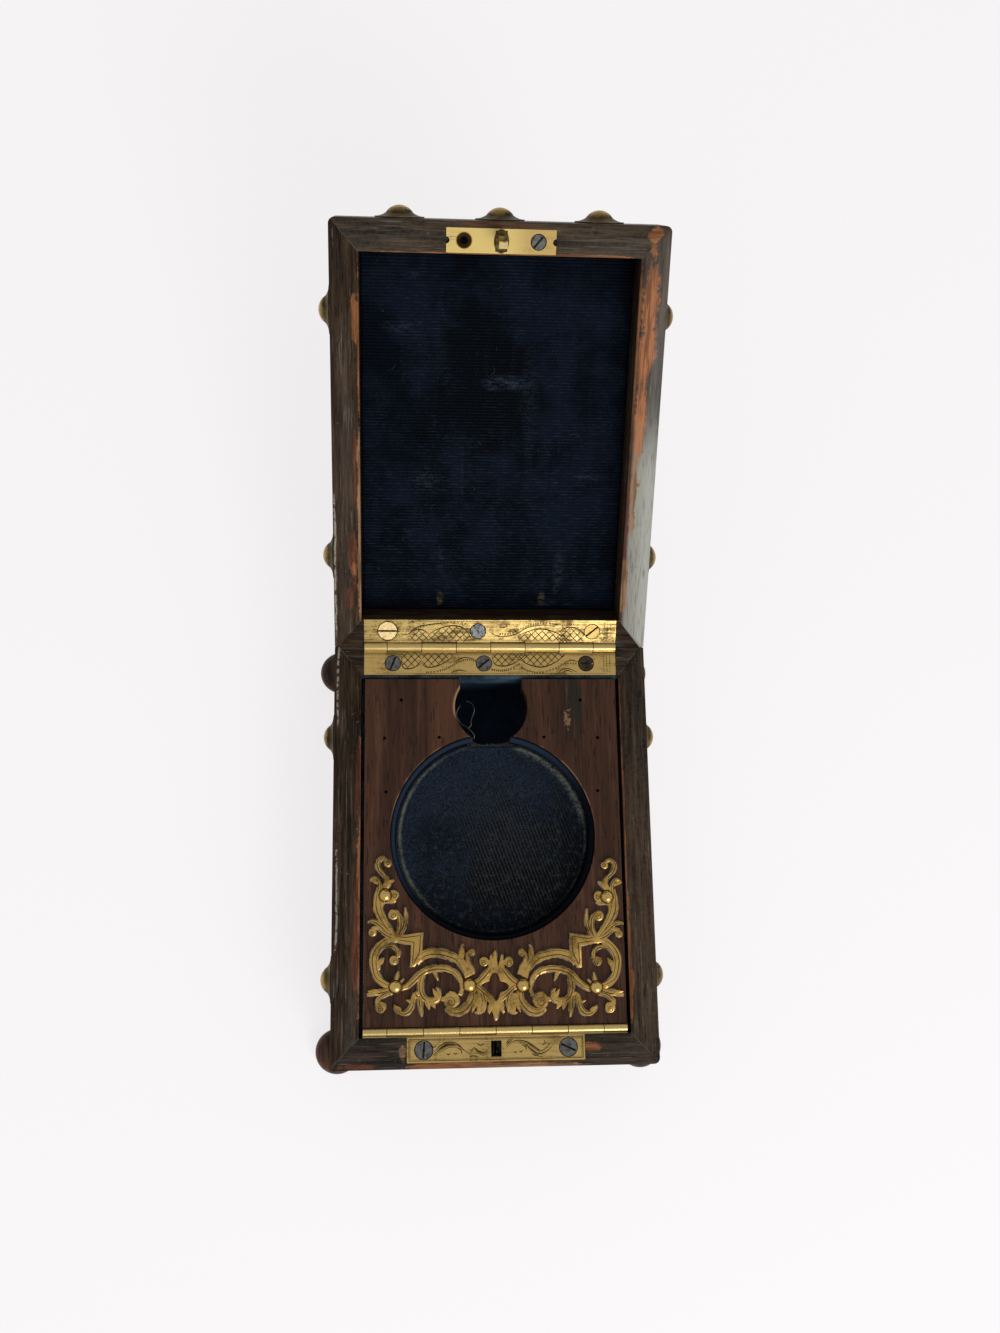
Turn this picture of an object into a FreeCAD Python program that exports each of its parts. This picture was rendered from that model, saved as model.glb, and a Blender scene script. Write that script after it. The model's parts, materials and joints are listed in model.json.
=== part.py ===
"""Travelling pocket-watch case: a hinged box with a lift-up watch panel, brass mounts and velvet linings.

Millimetres. +X right, +Y towards the lid hinge, +Z up. The origin is the centre of the base's underside.
The lid is drawn as a tray with its rim upwards, mirrored over the hinge axis, and swung open to its stop.
"""

import FreeCAD, Part
import math
import os
from FreeCAD import Vector

# Case
case_width = 82.0
case_depth = 108.2
base_height = 22.0
lid_height = 14.0
side_rail = 7.0
front_rail = 7.6
back_rail = 8.8
corner_radius = 1.5
floor_thickness = 2.5
lid_board = 3.5
lid_edge_round = 1.4
rim_gap = 0.2
lid_open_deg = 147.0
stop_gap = 0.1
fit_gap = 0.05

# Lid hinge, let into both rims
axis_inset = 1.3
hinge_end_gap = 0.7
leaf_thickness = 1.0
lid_knuckle_r = 1.3
lid_pin_r = 0.6
knuckle_count = 8
end_knuckle_share = 0.66
knuckle_gap = 0.1
swing_gap = 0.15
pin_gap = 0.04
lid_screw_insets = (6.1, 6.4)
lid_middle_screw_x = -3.4
base_screw_insets = (7.5, 7.9)
base_middle_screw_x = -1.8

# Watch panel and its hinge along the front rail
panel_thickness = 4.5
panel_drop = 0.3
panel_side_gap = 0.95
panel_back_gap = 0.3
panel_knuckle_r = 1.0
panel_pin_r = 0.45
panel_axis_offset = 1.3
panel_axis_drop = 0.2
panel_leaf_thickness = 0.6
panel_rest_gap = 0.1

# Watch recess, measured from the panel hinge axis
recess_r = 26.45
recess_from_hinge = 48.3
bow_r = 9.6
bow_from_hinge = 81.9
bow_mouth = 16.4
cup_board = 2.0
cup_margin = 2.2
lining_wall = 1.1
lining_drop = 0.4
pad_r = 24.4
pad_edge = 1.7
pad_crown = 0.7
pad_flat_from_centre = 23.0

# Linings of the well under the panel and of the lid
cloth = 0.8
side_lining = 2.0
lid_pad = 2.0
lid_pad_round = 0.8
lid_pad_gap = 0.2

# Lock in the front rail
lock_from_inner_edge = 3.1
lock_plate_size = (44.3, 6.1, 1.0)
lock_slot = (2.6, 3.9)
lock_screw_from_case = 2.0
lock_case_size = (32.0, 5.0, 12.0)
lock_case_wall = 0.6
bolt_size = (11.4, 1.7, 2.5)
bolt_from_slot = 0.3
bolt_drop = 2.4
bolt_offset = 0.55
bolt_gap = 0.1
bolt_guide = 0.9
spring_thickness = 0.3
spring_length = 9.0
key_drop = 9.4
key_r = 1.4
key_slot = (1.3, 3.2)
key_liner_wall = 0.6
key_liner_depth = 1.2
drill_pin_r = 0.55

# Strike plate and hook in the lid's front rail
strike_size = (26.3, 5.7, 0.8)
strike_hole = (2.9, 4.8)
strike_screw_x = 8.9
strike_notch_r = 0.8
hook_width = 2.0
hook_depth = 2.8
hook_shank = 0.9
hook_toe = 1.4
hook_reach = 6.8
hook_flange = (5.0, 5.2, 1.2)

# Screws
screw_head_r = 2.0
big_screw_head_r = 2.5
lock_screw_head_r = 2.2
strike_screw_head_r = 1.75
screw_head_height = 1.0
screw_shank_r = 0.8
screw_length = 4.0
screw_slot = (0.5, 0.4)
lid_slot_degs = (0, 55, 40)
base_slot_degs = (68, 40, 0)
lock_slot_degs = (85, -25)
strike_slot_deg = 50

# Brass scroll fretwork and its domed nails, drawn for one half of the panel
fret_thickness = 0.8
fret_margin = 1.05
fret_lean_deg = 2.2
nail_dome_r = 1.6
nail_dome_height = 1.2
nail_shank_r = 0.5
nail_length = 3.0
pin_hole_r = 0.45
pin_hole_depth = 2.0

# Side bosses and feet
boss_r = 6.0
boss_rim = 0.35
boss_flare = (4.5, 0.6)
boss_dome_r = 3.3
boss_neck = 1.2
boss_height = 3.0
boss_from_hinge = (23.0, 85.2)
boss_front_pitch = 24.2
base_boss_drop = 7.0
lid_boss_drop = 7.0
foot_r = 5.8
foot_pad_r = 4.1
foot_height = 4.0
foot_side_reach = 5.0
foot_end_reach = 2.7

# Places worked out from the sizes above
half_width = case_width / 2
half_depth = case_depth / 2
inner_x = half_width - side_rail
inner_front = -half_depth + front_rail
inner_back = half_depth - back_rail
hinge_half = inner_x - hinge_end_gap
axis_y = half_depth - axis_inset
axis_z = base_height + rim_gap / 2
panel_top = base_height - panel_drop
panel_bottom = panel_top - panel_thickness
panel_half = inner_x - panel_side_gap
panel_axis_y = inner_front + panel_axis_offset
panel_axis_z = panel_top - panel_axis_drop
panel_front = panel_axis_y + panel_knuckle_r
panel_back = inner_back - cloth - panel_back_gap
recess_y = panel_axis_y + recess_from_hinge
bow_y = panel_axis_y + bow_from_hinge
lock_y = inner_front - lock_from_inner_edge
lock_screw_x = lock_case_size[0] / 2 + lock_screw_from_case
lid_bottom = base_height - lid_height

X = Vector(1, 0, 0)
Y = Vector(0, 1, 0)
Z = Vector(0, 0, 1)


def block(x0, x1, y0, y1, z0, z1):
    return Part.makeBox(x1 - x0, y1 - y0, z1 - z0, Vector(x0, y0, z0))


def centred(size, x, y, z_top):
    """A block of the given size, centred on x and y, hanging from z_top."""
    return block(x - size[0] / 2, x + size[0] / 2, y - size[1] / 2, y + size[1] / 2, z_top - size[2], z_top)


def rod(start, direction, radius, length):
    return Part.makeCylinder(radius, length, start, direction)


def prism(points, direction):
    """The solid that a flat polygon sweeps along a direction."""
    return Part.Face(Part.makePolygon(points + points[:1])).extrude(direction)


def turned(edges):
    """A solid of revolution about Z from the edges of a closed profile in the XZ plane."""
    return Part.Face(Part.Wire(edges)).revolve(Vector(0, 0, 0), Z, 360)


def arc(a, b, c):
    return Part.Arc(Vector(a[0], 0, a[1]), Vector(b[0], 0, b[1]), Vector(c[0], 0, c[1])).toShape()


def line(a, b):
    return Part.makeLine(Vector(a[0], 0, a[1]), Vector(b[0], 0, b[1]))


def dome(radius, foot, height):
    """The arc of a spherical cap from its edge at z = foot up to the axis."""
    ball_r = (radius ** 2 + height ** 2) / (2 * height)
    half_angle = math.asin(radius / ball_r) / 2
    middle = (ball_r * math.sin(half_angle), foot + height - ball_r * (1 - math.cos(half_angle)))
    return arc((radius, foot), middle, (0, foot + height))


def moved(shape, x, y, z):
    copy = shape.copy()
    copy.translate(Vector(x, y, z))
    return copy


def cut_all(shape, tools):
    for tool in tools:
        shape = shape.cut(tool)
    return shape


def open_lid(shape):
    """Mirrors a tray-wise lid piece over the hinge axis, then swings it open."""
    hinge = Vector(0, axis_y, axis_z)
    lid = shape.mirror(hinge, Z)
    lid.rotate(hinge, X, -lid_open_deg)
    return lid


def save(node, *solids):
    shape = solids[0] if len(solids) == 1 else Part.makeCompound(list(solids))
    shape.exportStep("parts/" + node + ".step")


# Box walls

def rounded_plan(z0, z1):
    plan = block(-half_width, half_width, -half_depth, half_depth, z0, z1)
    corners = [e for e in plan.Edges if abs(e.Vertexes[0].X - e.Vertexes[1].X) < fit_gap
               and abs(e.Vertexes[0].Y - e.Vertexes[1].Y) < fit_gap]
    return plan.makeFillet(corner_radius, corners)


def stop_wedge():
    """What is planed off the back edge of a tray so that lid and base meet at the lid's stop."""
    slope = math.radians(lid_open_deg / 2)
    down_y, down_z = math.cos(slope), -math.sin(slope)
    start_y = axis_y - math.sin(slope) * stop_gap / 2
    start_z = axis_z - math.cos(slope) * stop_gap / 2
    reach = (lid_height + axis_inset) / down_y
    above = lid_knuckle_r
    profile = [
        Vector(-case_width, start_y - down_y * above, start_z - down_z * above),
        Vector(-case_width, start_y + down_y * reach, start_z + down_z * reach),
        Vector(-case_width, half_depth + reach, start_z + down_z * reach),
        Vector(-case_width, half_depth + reach, start_z - down_z * above),
    ]
    return prism(profile, X * (2 * case_width))


def tray_walls(z0):
    """Four mitred walls from z0 up to the rim, by side."""
    outer = {"fl": (-half_width, -half_depth), "fr": (half_width, -half_depth),
             "br": (half_width, half_depth), "bl": (-half_width, half_depth)}
    inner = {"fl": (-inner_x, inner_front), "fr": (inner_x, inner_front),
             "br": (inner_x, inner_back), "bl": (-inner_x, inner_back)}
    plan = rounded_plan(z0, base_height)
    wedge = stop_wedge()
    walls = {}
    ends = {"front": ("fl", "fr"), "right": ("fr", "br"), "back": ("br", "bl"), "left": ("bl", "fl")}
    for side, (a, b) in ends.items():
        points = [Vector(x, y, z0) for x, y in (outer[a], outer[b], inner[b], inner[a])]
        walls[side] = prism(points, Z * (base_height - z0)).common(plan).cut(wedge)
    return walls


# Hinges

def knuckle_spans(length):
    """Start and end of each knuckle along X: equal ones between two shorter end ones."""
    pitch = length / (knuckle_count - 2 + 2 * end_knuckle_share)
    edges = [-length / 2]
    for i in range(knuckle_count):
        edges.append(edges[-1] + pitch * (end_knuckle_share if i in (0, knuckle_count - 1) else 1))
    return [(edges[i] + knuckle_gap / 2, edges[i + 1] - knuckle_gap / 2) for i in range(knuckle_count)]


def hinge_leaf(plate, y, z, radius, pin_r, length, first):
    """A leaf plate with every second knuckle, notched for the other leaf's knuckles and bored for the pin."""
    room = radius + swing_gap
    for i, (x0, x1) in enumerate(knuckle_spans(length)):
        if i % 2 == first:
            plate = plate.fuse(rod(Vector(x0, y, z), X, radius, x1 - x0))
        else:
            x0, x1 = x0 - knuckle_gap, x1 + knuckle_gap
            plate = plate.cut(block(x0, x1, y - room, y + room, z - room, z + room))
    bore = rod(Vector(-length, y, z), X, pin_r + pin_gap, 2 * length)
    return plate.cut(bore).removeSplitter()


def lid_leaf_plate():
    foot = base_height - leaf_thickness
    return block(-hinge_half, hinge_half, inner_back, axis_y - lid_pin_r, foot, base_height)


def leaf_pocket():
    """Room in a back wall for one leaf and for the whole barrel."""
    half = hinge_half + fit_gap
    foot = base_height - leaf_thickness
    seat = block(-half, half, inner_back - fit_gap, axis_y, foot, base_height + rim_gap)
    barrel = rod(Vector(-half, axis_y, axis_z), X, lid_knuckle_r + swing_gap, 2 * half)
    return seat.fuse(barrel)


# Screws, with the room that they take in what they hold

def screw_body(x, y, head_r, gap):
    top = base_height
    drop = screw_head_height * (head_r + gap) / head_r
    head = Part.makeCone(screw_shank_r + gap, head_r + gap, drop, Vector(x, y, top - drop), Z)
    return head.fuse(rod(Vector(x, y, top - screw_length - gap), Z, screw_shank_r + gap, screw_length - gap))


def screw(x, y, head_r, slot_deg):
    width, depth = screw_slot
    slot = block(-2 * head_r, 2 * head_r, -width / 2, width / 2, -depth, depth)
    slot.rotate(Vector(0, 0, 0), Z, slot_deg)
    return screw_body(x, y, head_r, 0).cut(moved(slot, x, y, base_height))


def screw_room(x, y, head_r):
    return screw_body(x, y, head_r, fit_gap)


# Bosses, feet and nails

def boss():
    """A dome on a flared flange, standing on the plane z = 0."""
    shoulder = (boss_dome_r, boss_neck)
    return turned([
        line((0, 0), (boss_r, 0)),
        line((boss_r, 0), (boss_r, boss_rim)),
        arc((boss_r, boss_rim), boss_flare, shoulder),
        dome(boss_dome_r, boss_neck, boss_height - boss_neck),
        line((0, boss_height), (0, 0)),
    ])


def boss_on_side(x_sign, y, z):
    shape = boss()
    shape.rotate(Vector(0, 0, 0), Y, 90 * x_sign)
    return moved(shape, x_sign * half_width, y, z)


def boss_on_front(x, z):
    shape = boss()
    shape.rotate(Vector(0, 0, 0), X, 90)
    return moved(shape, x, -half_depth, z)


def side_bosses(z):
    return [boss_on_side(side, axis_y - run, z) for side in (-1, 1) for run in boss_from_hinge]


def bun_foot():
    return turned([
        line((0, -foot_height), (foot_pad_r, -foot_height)),
        arc((foot_pad_r, -foot_height), (foot_r, -foot_height / 2), (foot_pad_r, 0)),
        line((foot_pad_r, 0), (0, 0)),
        line((0, 0), (0, -foot_height)),
    ])


# Scroll fretwork: strokes of (across, up, width) from the centre line and the panel hinge

STEM = [
    [(27.3, 41.9, 0.9), (28.3, 42.7, 1.0), (29.5, 41.6, 1.1), (29.0, 39.7, 1.1), (27.7, 38.2, 1.1),
     (28.1, 35.2, 1.3)],
    [(31.4, 37.2, 0.35), (30.1, 37.7, 0.9), (29.1, 36.6, 1.0), (29.3, 34.0, 1.2)],
    [(25.4, 37.2, 0.35), (26.4, 36.5, 0.9), (27.4, 35.2, 1.0)],
    [(29.1, 35.4, 1.2), (29.5, 32.6, 1.9), (29.4, 30.3, 2.3), (28.6, 28.0, 2.1), (27.2, 25.8, 1.7),
     (25.2, 23.2, 1.5)],
    [(28.6, 30.4, 0.9), (27.7, 32.0, 1.0), (26.2, 31.9, 1.0), (25.0, 32.5, 1.0)],
    [(31.9, 26.9, 0.4), (30.3, 27.0, 1.0), (28.6, 25.9, 1.2), (26.4, 23.8, 1.3)],
    [(30.9, 25.1, 0.8), (29.3, 25.3, 1.0), (27.4, 23.8, 1.2), (25.4, 22.9, 1.4)],
    [(24.9, 22.8, 1.5), (23.9, 25.4, 1.3), (24.0, 28.0, 1.2), (25.2, 29.4, 1.0)],
    [(22.6, 30.3, 0.35), (22.4, 28.0, 0.9), (22.9, 25.5, 1.0), (24.4, 23.0, 1.0)],
]
SIDE_SCROLL = [
    [(25.4, 23.0, 1.5), (28.5, 21.3, 1.9), (30.2, 18.7, 2.1), (30.3, 15.9, 1.9), (29.2, 13.0, 1.8),
     (25.0, 11.0, 1.5)],
    [(28.6, 20.3, 0.9), (26.2, 21.0, 1.0), (24.8, 20.2, 1.1), (24.4, 18.0, 1.1)],
    [(27.9, 18.0, 0.35), (28.9, 17.2, 0.9), (29.4, 15.2, 1.0)],
    [(24.3, 14.7, 0.35), (24.6, 13.3, 0.9), (25.1, 11.6, 1.1)],
    [(22.9, 12.8, 0.35), (24.4, 11.2, 1.0)],
    [(32.0, 9.1, 0.6), (30.3, 9.6, 1.5), (28.3, 9.8, 1.5), (25.4, 10.6, 1.3)],
    [(25.8, 9.6, 1.0), (28.0, 8.9, 1.1), (29.4, 7.5, 1.2), (28.9, 6.3, 1.0)],
]
ARCHES = [
    [(19.9, 17.0, 2.2), (18.0, 18.5, 2.2), (15.4, 19.1, 2.2), (12.2, 18.6, 2.2), (9.3, 17.2, 2.2),
     (6.8, 13.0, 1.9)],
    [(8.0, 21.1, 0.35), (8.6, 19.3, 0.9), (8.2, 16.8, 1.2)],
    [(6.3, 19.3, 0.8), (7.1, 18.2, 0.9), (6.5, 16.1, 1.0), (5.8, 13.6, 1.2)],
    [(25.2, 10.9, 1.2), (22.6, 10.8, 1.3), (20.5, 12.3, 1.5), (18.3, 14.3, 1.6), (15.6, 15.2, 1.6),
     (12.7, 15.2, 1.6), (10.0, 14.0, 1.4), (8.5, 11.6, 1.1), (9.0, 8.6, 1.0)],
    [(15.4, 14.9, 1.2), (14.9, 13.6, 0.8), (14.4, 12.3, 0.3)],
    [(18.2, 13.9, 1.4), (18.8, 10.6, 1.5), (18.0, 8.3, 1.4), (16.2, 7.4, 1.5), (14.5, 8.0, 1.6),
     (14.2, 9.6, 1.0), (14.8, 10.5, 0.35)],
    [(18.9, 8.6, 1.5), (18.7, 5.4, 1.1), (18.5, 3.6, 0.35)],
    [(25.2, 6.7, 0.4), (24.4, 5.1, 0.9), (22.8, 4.5, 1.2), (21.2, 5.6, 1.4), (20.6, 7.8, 1.4),
     (18.8, 9.4, 1.2)],
    [(12.2, 5.8, 1.5), (10.6, 4.7, 1.9), (8.5, 4.9, 2.1), (6.7, 6.5, 1.9), (5.8, 8.5, 1.7), (6.4, 11.0, 1.5)],
]
CENTRE = [
    [(6.2, 11.0, 1.6), (4.0, 12.1, 1.5), (2.2, 13.9, 1.3), (1.2, 15.4, 1.2), (1.9, 16.9, 1.0)],
    [(6.0, 11.2, 1.5), (4.1, 10.3, 1.2), (2.2, 8.6, 1.3), (1.0, 7.4, 1.3), (-0.4, 5.2, 1.5)],
    [(1.1, 18.4, 0.35), (0.9, 17.2, 0.8), (0.5, 15.2, 0.9)],
    [(2.2, 13.4, 1.0), (1.1, 14.6, 1.0), (-0.5, 15.4, 1.1)],
    [(5.3, 4.4, 0.4), (3.7, 4.8, 1.2), (2.9, 6.9, 1.4), (3.5, 9.3, 1.2)],
    [(1.9, 4.3, 0.4), (1.4, 5.6, 1.1), (1.0, 7.2, 1.2)],
]
MIDDLE = [
    [(0.0, 19.4, 0.4), (0.0, 17.4, 1.1), (0.0, 14.8, 1.3)],
    [(0.0, 7.0, 1.6), (0.0, 4.6, 1.9), (0.0, 2.4, 0.4)],
]
# Round ends of the scrolls: (across, up, radius)
BALLS = [
    (27.0, 41.4, 0.9), (25.5, 33.5, 1.25), (30.7, 24.3, 0.95), (25.6, 28.6, 1.2), (25.2, 23.0, 1.3),
    (25.4, 17.4, 1.1), (28.6, 6.1, 1.3), (6.0, 19.0, 0.85), (11.0, 7.5, 1.95), (2.8, 16.7, 1.15),
]
# The broken strap beside the recess, the nails and the empty pin holes: (across, up)
STRAP = [(24.6, 23.6), (22.7, 23.6), (18.1, 24.1), (18.3, 19.0), (20.2, 15.7), (21.3, 15.7), (21.1, 21.0),
         (24.6, 21.7)]
NAILS = [(27.6, 33.4), (25.0, 10.9), (6.5, 11.0)]
PIN_HOLES = [(23.6, 83.8), (27.9, 73.7), (13.7, 73.9), (27.5, 59.7)]

widest_drawn = max(point[0] for track in STEM + SIDE_SCROLL for point in track)
fret_unit = (panel_half - fret_margin) / widest_drawn


def on_panel(across, up, z):
    return Vector(across * fret_unit, panel_axis_y + up * fret_unit, z)


def smooth(points):
    curve = Part.BSplineCurve()
    curve.interpolate(points)
    return curve.toShape()


def stroke(track):
    """A band along a track of (across, up, width), its two edges smooth curves."""
    left, right = [], []
    for i, (across, up, width) in enumerate(track):
        before = track[max(i - 1, 0)]
        after = track[min(i + 1, len(track) - 1)]
        run, rise = after[0] - before[0], after[1] - before[1]
        scale = width / 2 / math.hypot(run, rise)
        left.append(on_panel(across - rise * scale, up + run * scale, panel_top))
        right.append(on_panel(across + rise * scale, up - run * scale, panel_top))
    ends = [Part.makeLine(left[-1], right[-1]), Part.makeLine(right[0], left[0])]
    outline = Part.Wire([smooth(left), ends[0], smooth(right[::-1]), ends[1]])
    return Part.Face(outline).extrude(Z * fret_thickness)


def scroll_half():
    pieces = [stroke(track) for track in STEM + SIDE_SCROLL + ARCHES + CENTRE]
    pieces += [rod(on_panel(a, u, panel_top), Z, r * fret_unit, fret_thickness) for a, u, r in BALLS]
    pieces += [rod(on_panel(a, u, panel_top), Z, nail_dome_r, fret_thickness) for a, u in NAILS]
    pieces.append(prism([on_panel(a, u, panel_top) for a, u in STRAP], Z * fret_thickness))
    return pieces[0].multiFuse(pieces[1:])


def on_both_sides(points):
    return [on_panel(side * a, u, panel_top) for side in (-1, 1) for a, u in points]


def leaned(shape):
    """The fretwork's right half sits a little askew, turned about the middle of the panel hinge."""
    shape.rotate(on_panel(0, 0, panel_top), Z, -fret_lean_deg)
    return shape


def on_nails(tool):
    """A tool made for each nail of the left half, and again for the right half."""
    left = [tool(on_panel(-a, u, panel_top)) for a, u in NAILS]
    return left + [leaned(tool(on_panel(a, u, panel_top))) for a, u in NAILS]


def nail_room(point):
    foot = panel_top + fret_thickness - nail_length - fit_gap
    return rod(Vector(point.x, point.y, foot), Z, nail_shank_r + fit_gap, nail_length + fit_gap)


def dome_nail(point):
    nail = turned([
        line((0, -nail_length), (nail_shank_r, -nail_length)),
        line((nail_shank_r, -nail_length), (nail_shank_r, 0)),
        line((nail_shank_r, 0), (nail_dome_r, 0)),
        dome(nail_dome_r, 0, nail_dome_height),
        line((0, nail_dome_height), (0, -nail_length)),
    ])
    return moved(nail, point.x, point.y, panel_top + fret_thickness)


def fretwork():
    right = scroll_half()
    left = right.mirror(Vector(0, 0, 0), X)
    middle = [stroke(track) for track in MIDDLE]
    plate = left.multiFuse([leaned(right)] + middle).removeSplitter()
    return cut_all(plate, on_nails(nail_room)).Solids


# Watch panel

def bow_opening(z0, z1):
    """The hole for the watch's bow, open to the panel's back edge."""
    hole = rod(Vector(0, bow_y, z0), Z, bow_r, z1 - z0)
    return hole.fuse(block(-bow_mouth / 2, bow_mouth / 2, bow_y, inner_back + cloth, z0, z1))


def recess_disc(radius, z0, z1):
    return rod(Vector(0, recess_y, z0), Z, radius, z1 - z0)


def watch_panel():
    panel = block(-panel_half, panel_half, panel_front, panel_back, panel_bottom, panel_top)
    holes = [recess_disc(recess_r, panel_bottom, panel_top), bow_opening(panel_bottom, panel_top)]
    cove_r = panel_knuckle_r + swing_gap
    cove = rod(Vector(-case_width, panel_axis_y, panel_axis_z), X, cove_r, 2 * case_width)
    pins = [rod(p - Z * pin_hole_depth, Z, pin_hole_r, pin_hole_depth) for p in on_both_sides(PIN_HOLES)]
    return cut_all(panel, holes + [cove] + pins + on_nails(nail_room))


def recess_lining():
    outer = recess_r - fit_gap
    ring = recess_disc(outer, panel_bottom, panel_top - lining_drop)
    ring = ring.cut(recess_disc(outer - lining_wall, panel_bottom, panel_top))
    return ring.cut(bow_opening(panel_bottom, panel_top))


def cup_backing():
    disc = recess_disc(recess_r + cup_margin, panel_bottom - cup_board, panel_bottom)
    return disc.cut(bow_opening(panel_bottom - cup_board, panel_bottom))


def watch_pad():
    top = pad_edge + pad_crown
    profile = [
        line((0, 0), (pad_r, 0)),
        line((pad_r, 0), (pad_r, pad_edge)),
        dome(pad_r, pad_edge, pad_crown),
        line((0, top), (0, 0)),
    ]
    pad = moved(turned(profile), 0, recess_y, panel_bottom)
    flat = recess_y + pad_flat_from_centre
    return pad.cut(block(-pad_r, pad_r, flat, flat + pad_r, panel_bottom, panel_top))


def panel_leaf(near, far, first):
    half = panel_half
    plate = block(-half, half, panel_axis_y + near, panel_axis_y + far, panel_bottom, panel_axis_z)
    return hinge_leaf(plate, panel_axis_y, panel_axis_z, panel_knuckle_r, panel_pin_r, 2 * half, first)


# Lock

def keyhole(gap, y0, y1):
    """A round hole with a slot below it, through the front rail."""
    z = base_height - key_drop
    round_part = rod(Vector(0, y0, z), Y, key_r + gap, y1 - y0)
    half = key_slot[0] / 2 + gap
    return round_part.fuse(block(-half, half, y0, y1, z - key_slot[1] - gap, z))


def lock_screw_rooms():
    return [screw_room(x, lock_y, lock_screw_head_r) for x in (-lock_screw_x, lock_screw_x)]


def lock_plate():
    plate = centred(lock_plate_size, 0, lock_y, base_height)
    slot = centred(lock_slot + lock_plate_size[2:], 0, lock_y, base_height)
    return cut_all(plate, [slot] + lock_screw_rooms())


def lock_case():
    top = base_height - lock_plate_size[2]
    wall = lock_case_wall
    length, depth, height = lock_case_size
    shell = centred(lock_case_size, 0, lock_y, top)
    shell = shell.cut(centred((length - 2 * wall, depth - 2 * wall, height - wall), 0, lock_y, top))
    shell = shell.cut(keyhole(0, -half_depth, lock_y))
    guide_top = base_height - bolt_drop - bolt_size[2] - bolt_gap
    front, back = lock_y - depth / 2 + wall, lock_y + depth / 2 - wall
    guide_foot = guide_top - bolt_guide
    guide = block(bolt_start() + bolt_guide, length / 2 - wall, front, back, guide_foot, guide_top)
    pin = rod(Vector(0, front, base_height - key_drop), Y, drill_pin_r, back + wall - front)
    return shell.fuse(guide).fuse(pin).removeSplitter()


def bolt_start():
    """Where the drawn bolt's end stands, clear of the slot."""
    return lock_slot[0] / 2 + bolt_from_slot


def lock_bolt():
    centre = bolt_start() + bolt_size[0] / 2
    return centred(bolt_size, centre, lock_y + bolt_offset, base_height - bolt_drop)


def lock_spring():
    end = lock_case_size[0] / 2 - lock_case_wall
    z = base_height - bolt_drop + bolt_gap
    return block(end - spring_length, end, lock_y + bolt_offset - bolt_size[1] / 2,
                 lock_y + bolt_offset + bolt_size[1] / 2, z, z + spring_thickness)


def key_liner():
    front = -half_depth
    ring = keyhole(key_liner_wall, front, front + key_liner_depth)
    return ring.cut(keyhole(0, front, front + key_liner_depth))


def with_room(size):
    """A sunk piece's size with the fit gap round its sides."""
    return (size[0] + 2 * fit_gap, size[1] + 2 * fit_gap, size[2])


def lock_rooms():
    """What the lock takes out of the base's front wall."""
    plate = centred(with_room(lock_plate_size), 0, lock_y, base_height)
    case = centred(with_room(lock_case_size), 0, lock_y, base_height - lock_plate_size[2])
    hole = keyhole(0, -half_depth, lock_y)
    liner = keyhole(key_liner_wall + fit_gap, -half_depth, -half_depth + key_liner_depth)
    return [plate, case, hole, liner] + lock_screw_rooms()


def strike_screw_rooms():
    return [screw_room(x, lock_y, strike_screw_head_r) for x in (-strike_screw_x, strike_screw_x)]


def strike_plate():
    plate = centred(strike_size, 0, lock_y, base_height)
    hole = centred(strike_hole + strike_size[2:], 0, lock_y, base_height)
    end, foot = strike_size[0] / 2, base_height - strike_size[2]
    notches = [rod(Vector(x, lock_y, foot), Z, strike_notch_r, strike_size[2]) for x in (-end, end)]
    return cut_all(plate, [hole] + notches + strike_screw_rooms())


def strike_hook():
    """A flat hook on a flange behind the strike plate, its toe pointing away from the front."""
    foot = base_height - strike_size[2]
    tip = base_height + hook_reach
    front = lock_y - hook_depth / 2
    half = hook_width / 2
    shank = block(-half, half, front, front + hook_shank, foot, tip)
    toe = block(-half, half, front, front + hook_depth, tip - hook_toe, tip)
    return centred(hook_flange, 0, lock_y, foot).fuse(shank).fuse(toe).removeSplitter()


def strike_rooms():
    plate = centred(with_room(strike_size), 0, lock_y, base_height)
    flange = centred(with_room(hook_flange), 0, lock_y, base_height - strike_size[2])
    return [plate, flange] + strike_screw_rooms()


# Groups of pieces

def leaf_screw_y():
    return (inner_back + axis_y - lid_knuckle_r) / 2


def leaf_screw_x(insets, middle):
    """The three screws of a leaf: one inset from each end, and one near the middle."""
    return (insets[0] - hinge_half, middle, hinge_half - insets[1])


def save_base():
    walls = tray_walls(0)
    screw_x = leaf_screw_x(base_screw_insets, base_middle_screw_x)
    y = leaf_screw_y()
    rooms = [screw_room(x, y, screw_head_r) for x in screw_x]
    walls["back"] = cut_all(walls["back"], [leaf_pocket()] + rooms)
    walls["front"] = cut_all(walls["front"], lock_rooms())
    for side, wall in walls.items():
        save("base_" + side + "_wall", wall)
    save("base_floor", block(-inner_x, inner_x, inner_front, inner_back, 0, floor_thickness))
    foot_x = half_width + foot_side_reach - foot_r
    foot_y = half_depth + foot_end_reach - foot_r
    save("bun_feet", *[moved(bun_foot(), sx * foot_x, sy * foot_y, 0) for sx in (-1, 1) for sy in (-1, 1)])
    save("base_side_bosses", *side_bosses(base_height - base_boss_drop))
    leaf = hinge_leaf(lid_leaf_plate(), axis_y, axis_z, lid_knuckle_r, lid_pin_r, 2 * hinge_half, 0)
    save("base_hinge_leaf", cut_all(leaf, rooms))
    left, middle, right = [screw(x, y, screw_head_r, deg) for x, deg in zip(screw_x, base_slot_degs)]
    save("base_hinge_screws", left, middle)
    save("base_hinge_dark_screw", right)


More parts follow.
